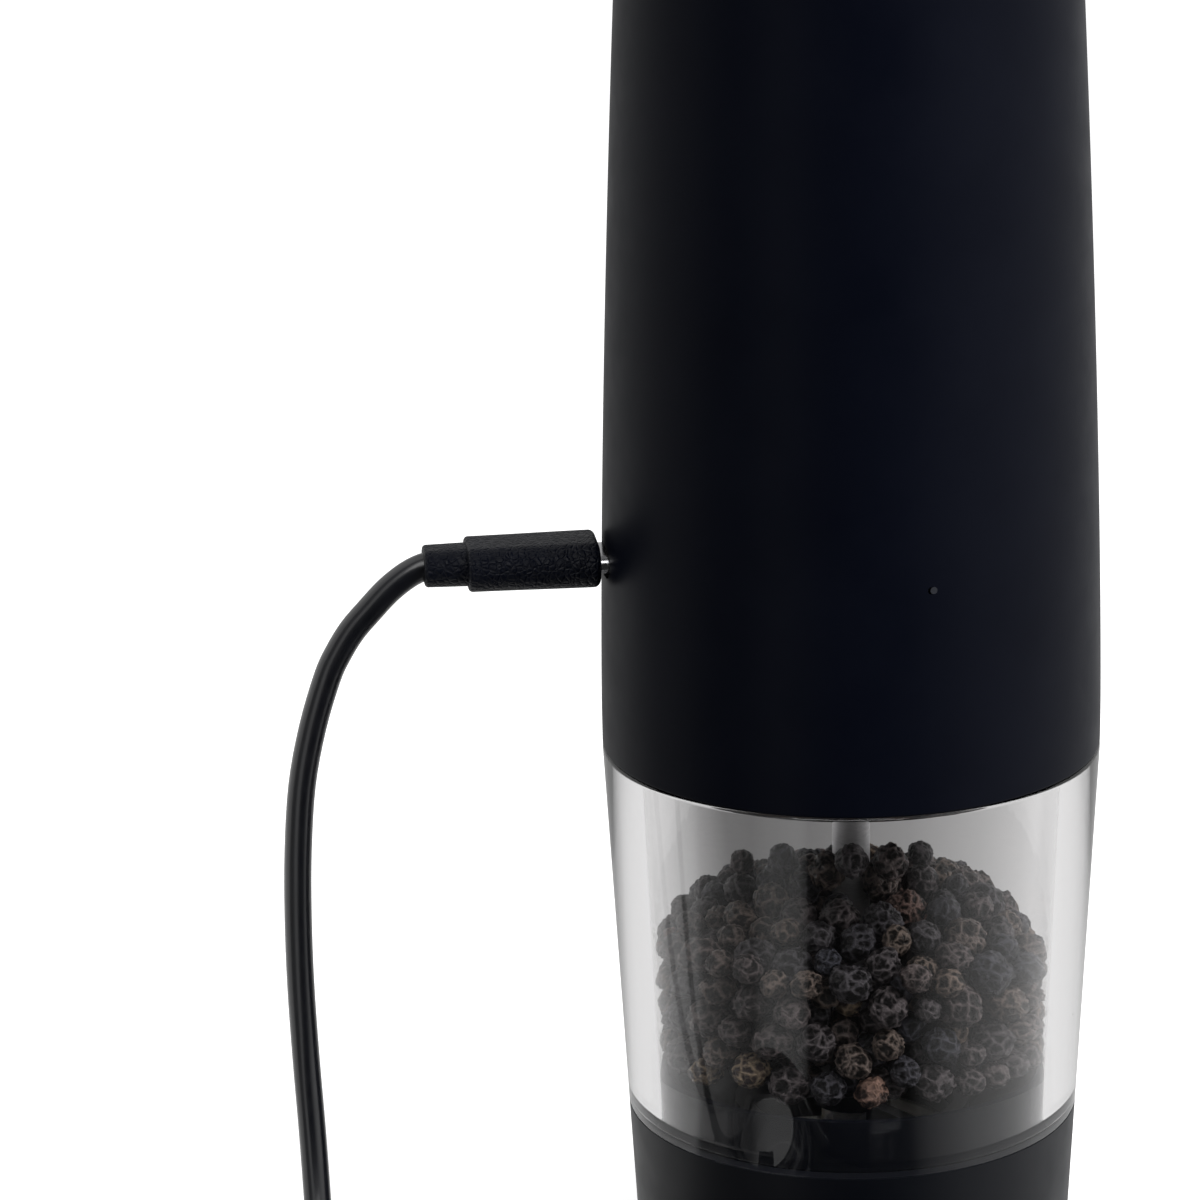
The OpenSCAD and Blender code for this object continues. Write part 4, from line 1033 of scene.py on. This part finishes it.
def finishes():
    """One material for each material slot of the record."""
    return {
        "soft_touch_black": soft_touch(),
        "button_black": moulded("button_black", (0.0032, 0.0037, 0.0056), (0.0042, 0.0048, 0.0068), 0.38, level=0.2),
        "base_black": moulded(
            "base_black", (0.0026, 0.0032, 0.0052), (0.0036, 0.0043, 0.0064), 0.42, 3800, 0.012 * MM, 0.16
        ),
        "inner_black": moulded("inner_black", (0.008, 0.008, 0.009), (0.012, 0.012, 0.0135), 0.42),
        "frame_plastic": moulded("frame_plastic", (0.5, 0.5, 0.46), (0.56, 0.56, 0.52), 0.5),
        "gear_plastic": moulded("gear_plastic", (0.74, 0.73, 0.68), (0.8, 0.79, 0.75), 0.35),
        "clear_jar": clear_plastic(),
        "peppercorn": peppercorn_skin(),
        "ceramic_white": moulded("ceramic_white", (0.72, 0.7, 0.64), (0.8, 0.79, 0.74), 0.3, 4200),
        "steel": metal("steel", (0.78, 0.78, 0.79), 0.6, (1, 1, 6)),
        "brass_small": metal("brass_small", (0.72, 0.5, 0.2), 0.3),
        "copper_winding": metal("copper_winding", (0.55, 0.22, 0.09), 0.35, (1, 1, 14), 0.03 * MM),
        "circuit_board": moulded("circuit_board", (0.008, 0.07, 0.025), (0.014, 0.11, 0.04), 0.3),
        "chip_black": moulded("chip_black", (0.01, 0.01, 0.011), (0.016, 0.016, 0.018), 0.5),
        "cell_wrap": moulded("cell_wrap", (0.008, 0.05, 0.2), (0.012, 0.07, 0.26), 0.25),
        "clear_guide": moulded("clear_guide", (0.009, 0.0105, 0.015), (0.012, 0.0135, 0.019), 0.4),
        "seal_silicone": moulded("seal_silicone", (0.5, 0.51, 0.53), (0.58, 0.59, 0.6), 0.45),
        "cord_black": cord_jacket(),
        "plug_black": grained_rubber(),
        "tie_black": moulded("tie_black", (0.006, 0.006, 0.007), (0.012, 0.012, 0.013), 0.8, 1800, 0.1 * MM),
        "plug_metal": metal("plug_metal", (0.68, 0.68, 0.7), 0.2),
    }


# ---------- the scene ----------

add_camera()
finish = finishes()
for part in frame["record"]["subparts"]:
    node = NODES[part["node"]]
    node.data.materials.clear()
    node.data.materials.append(finish[part["material_slot"]])

lead, lead_path = add_cord(finish["cord_black"])
add_body(finish["soft_touch_black"])
add_jar(finish["clear_jar"])
add_corns(finish["peppercorn"])
add_spring("button_spring", "motor_unit", 0.8 * MM, 5, finish["steel"])
add_spring("burr_spring", "jar_unit", 0.7 * MM, 3, finish["steel"])
plug = add_plug(finish["plug_black"])
relief = add_relief(finish["plug_black"])
add_stage()
add_light()

scene = bpy.context.scene
scene.view_settings.view_transform = "Standard"
scene.cycles.transparent_max_bounces = 16
scene.cycles.max_bounces = 16
scene.cycles.transmission_bounces = 14
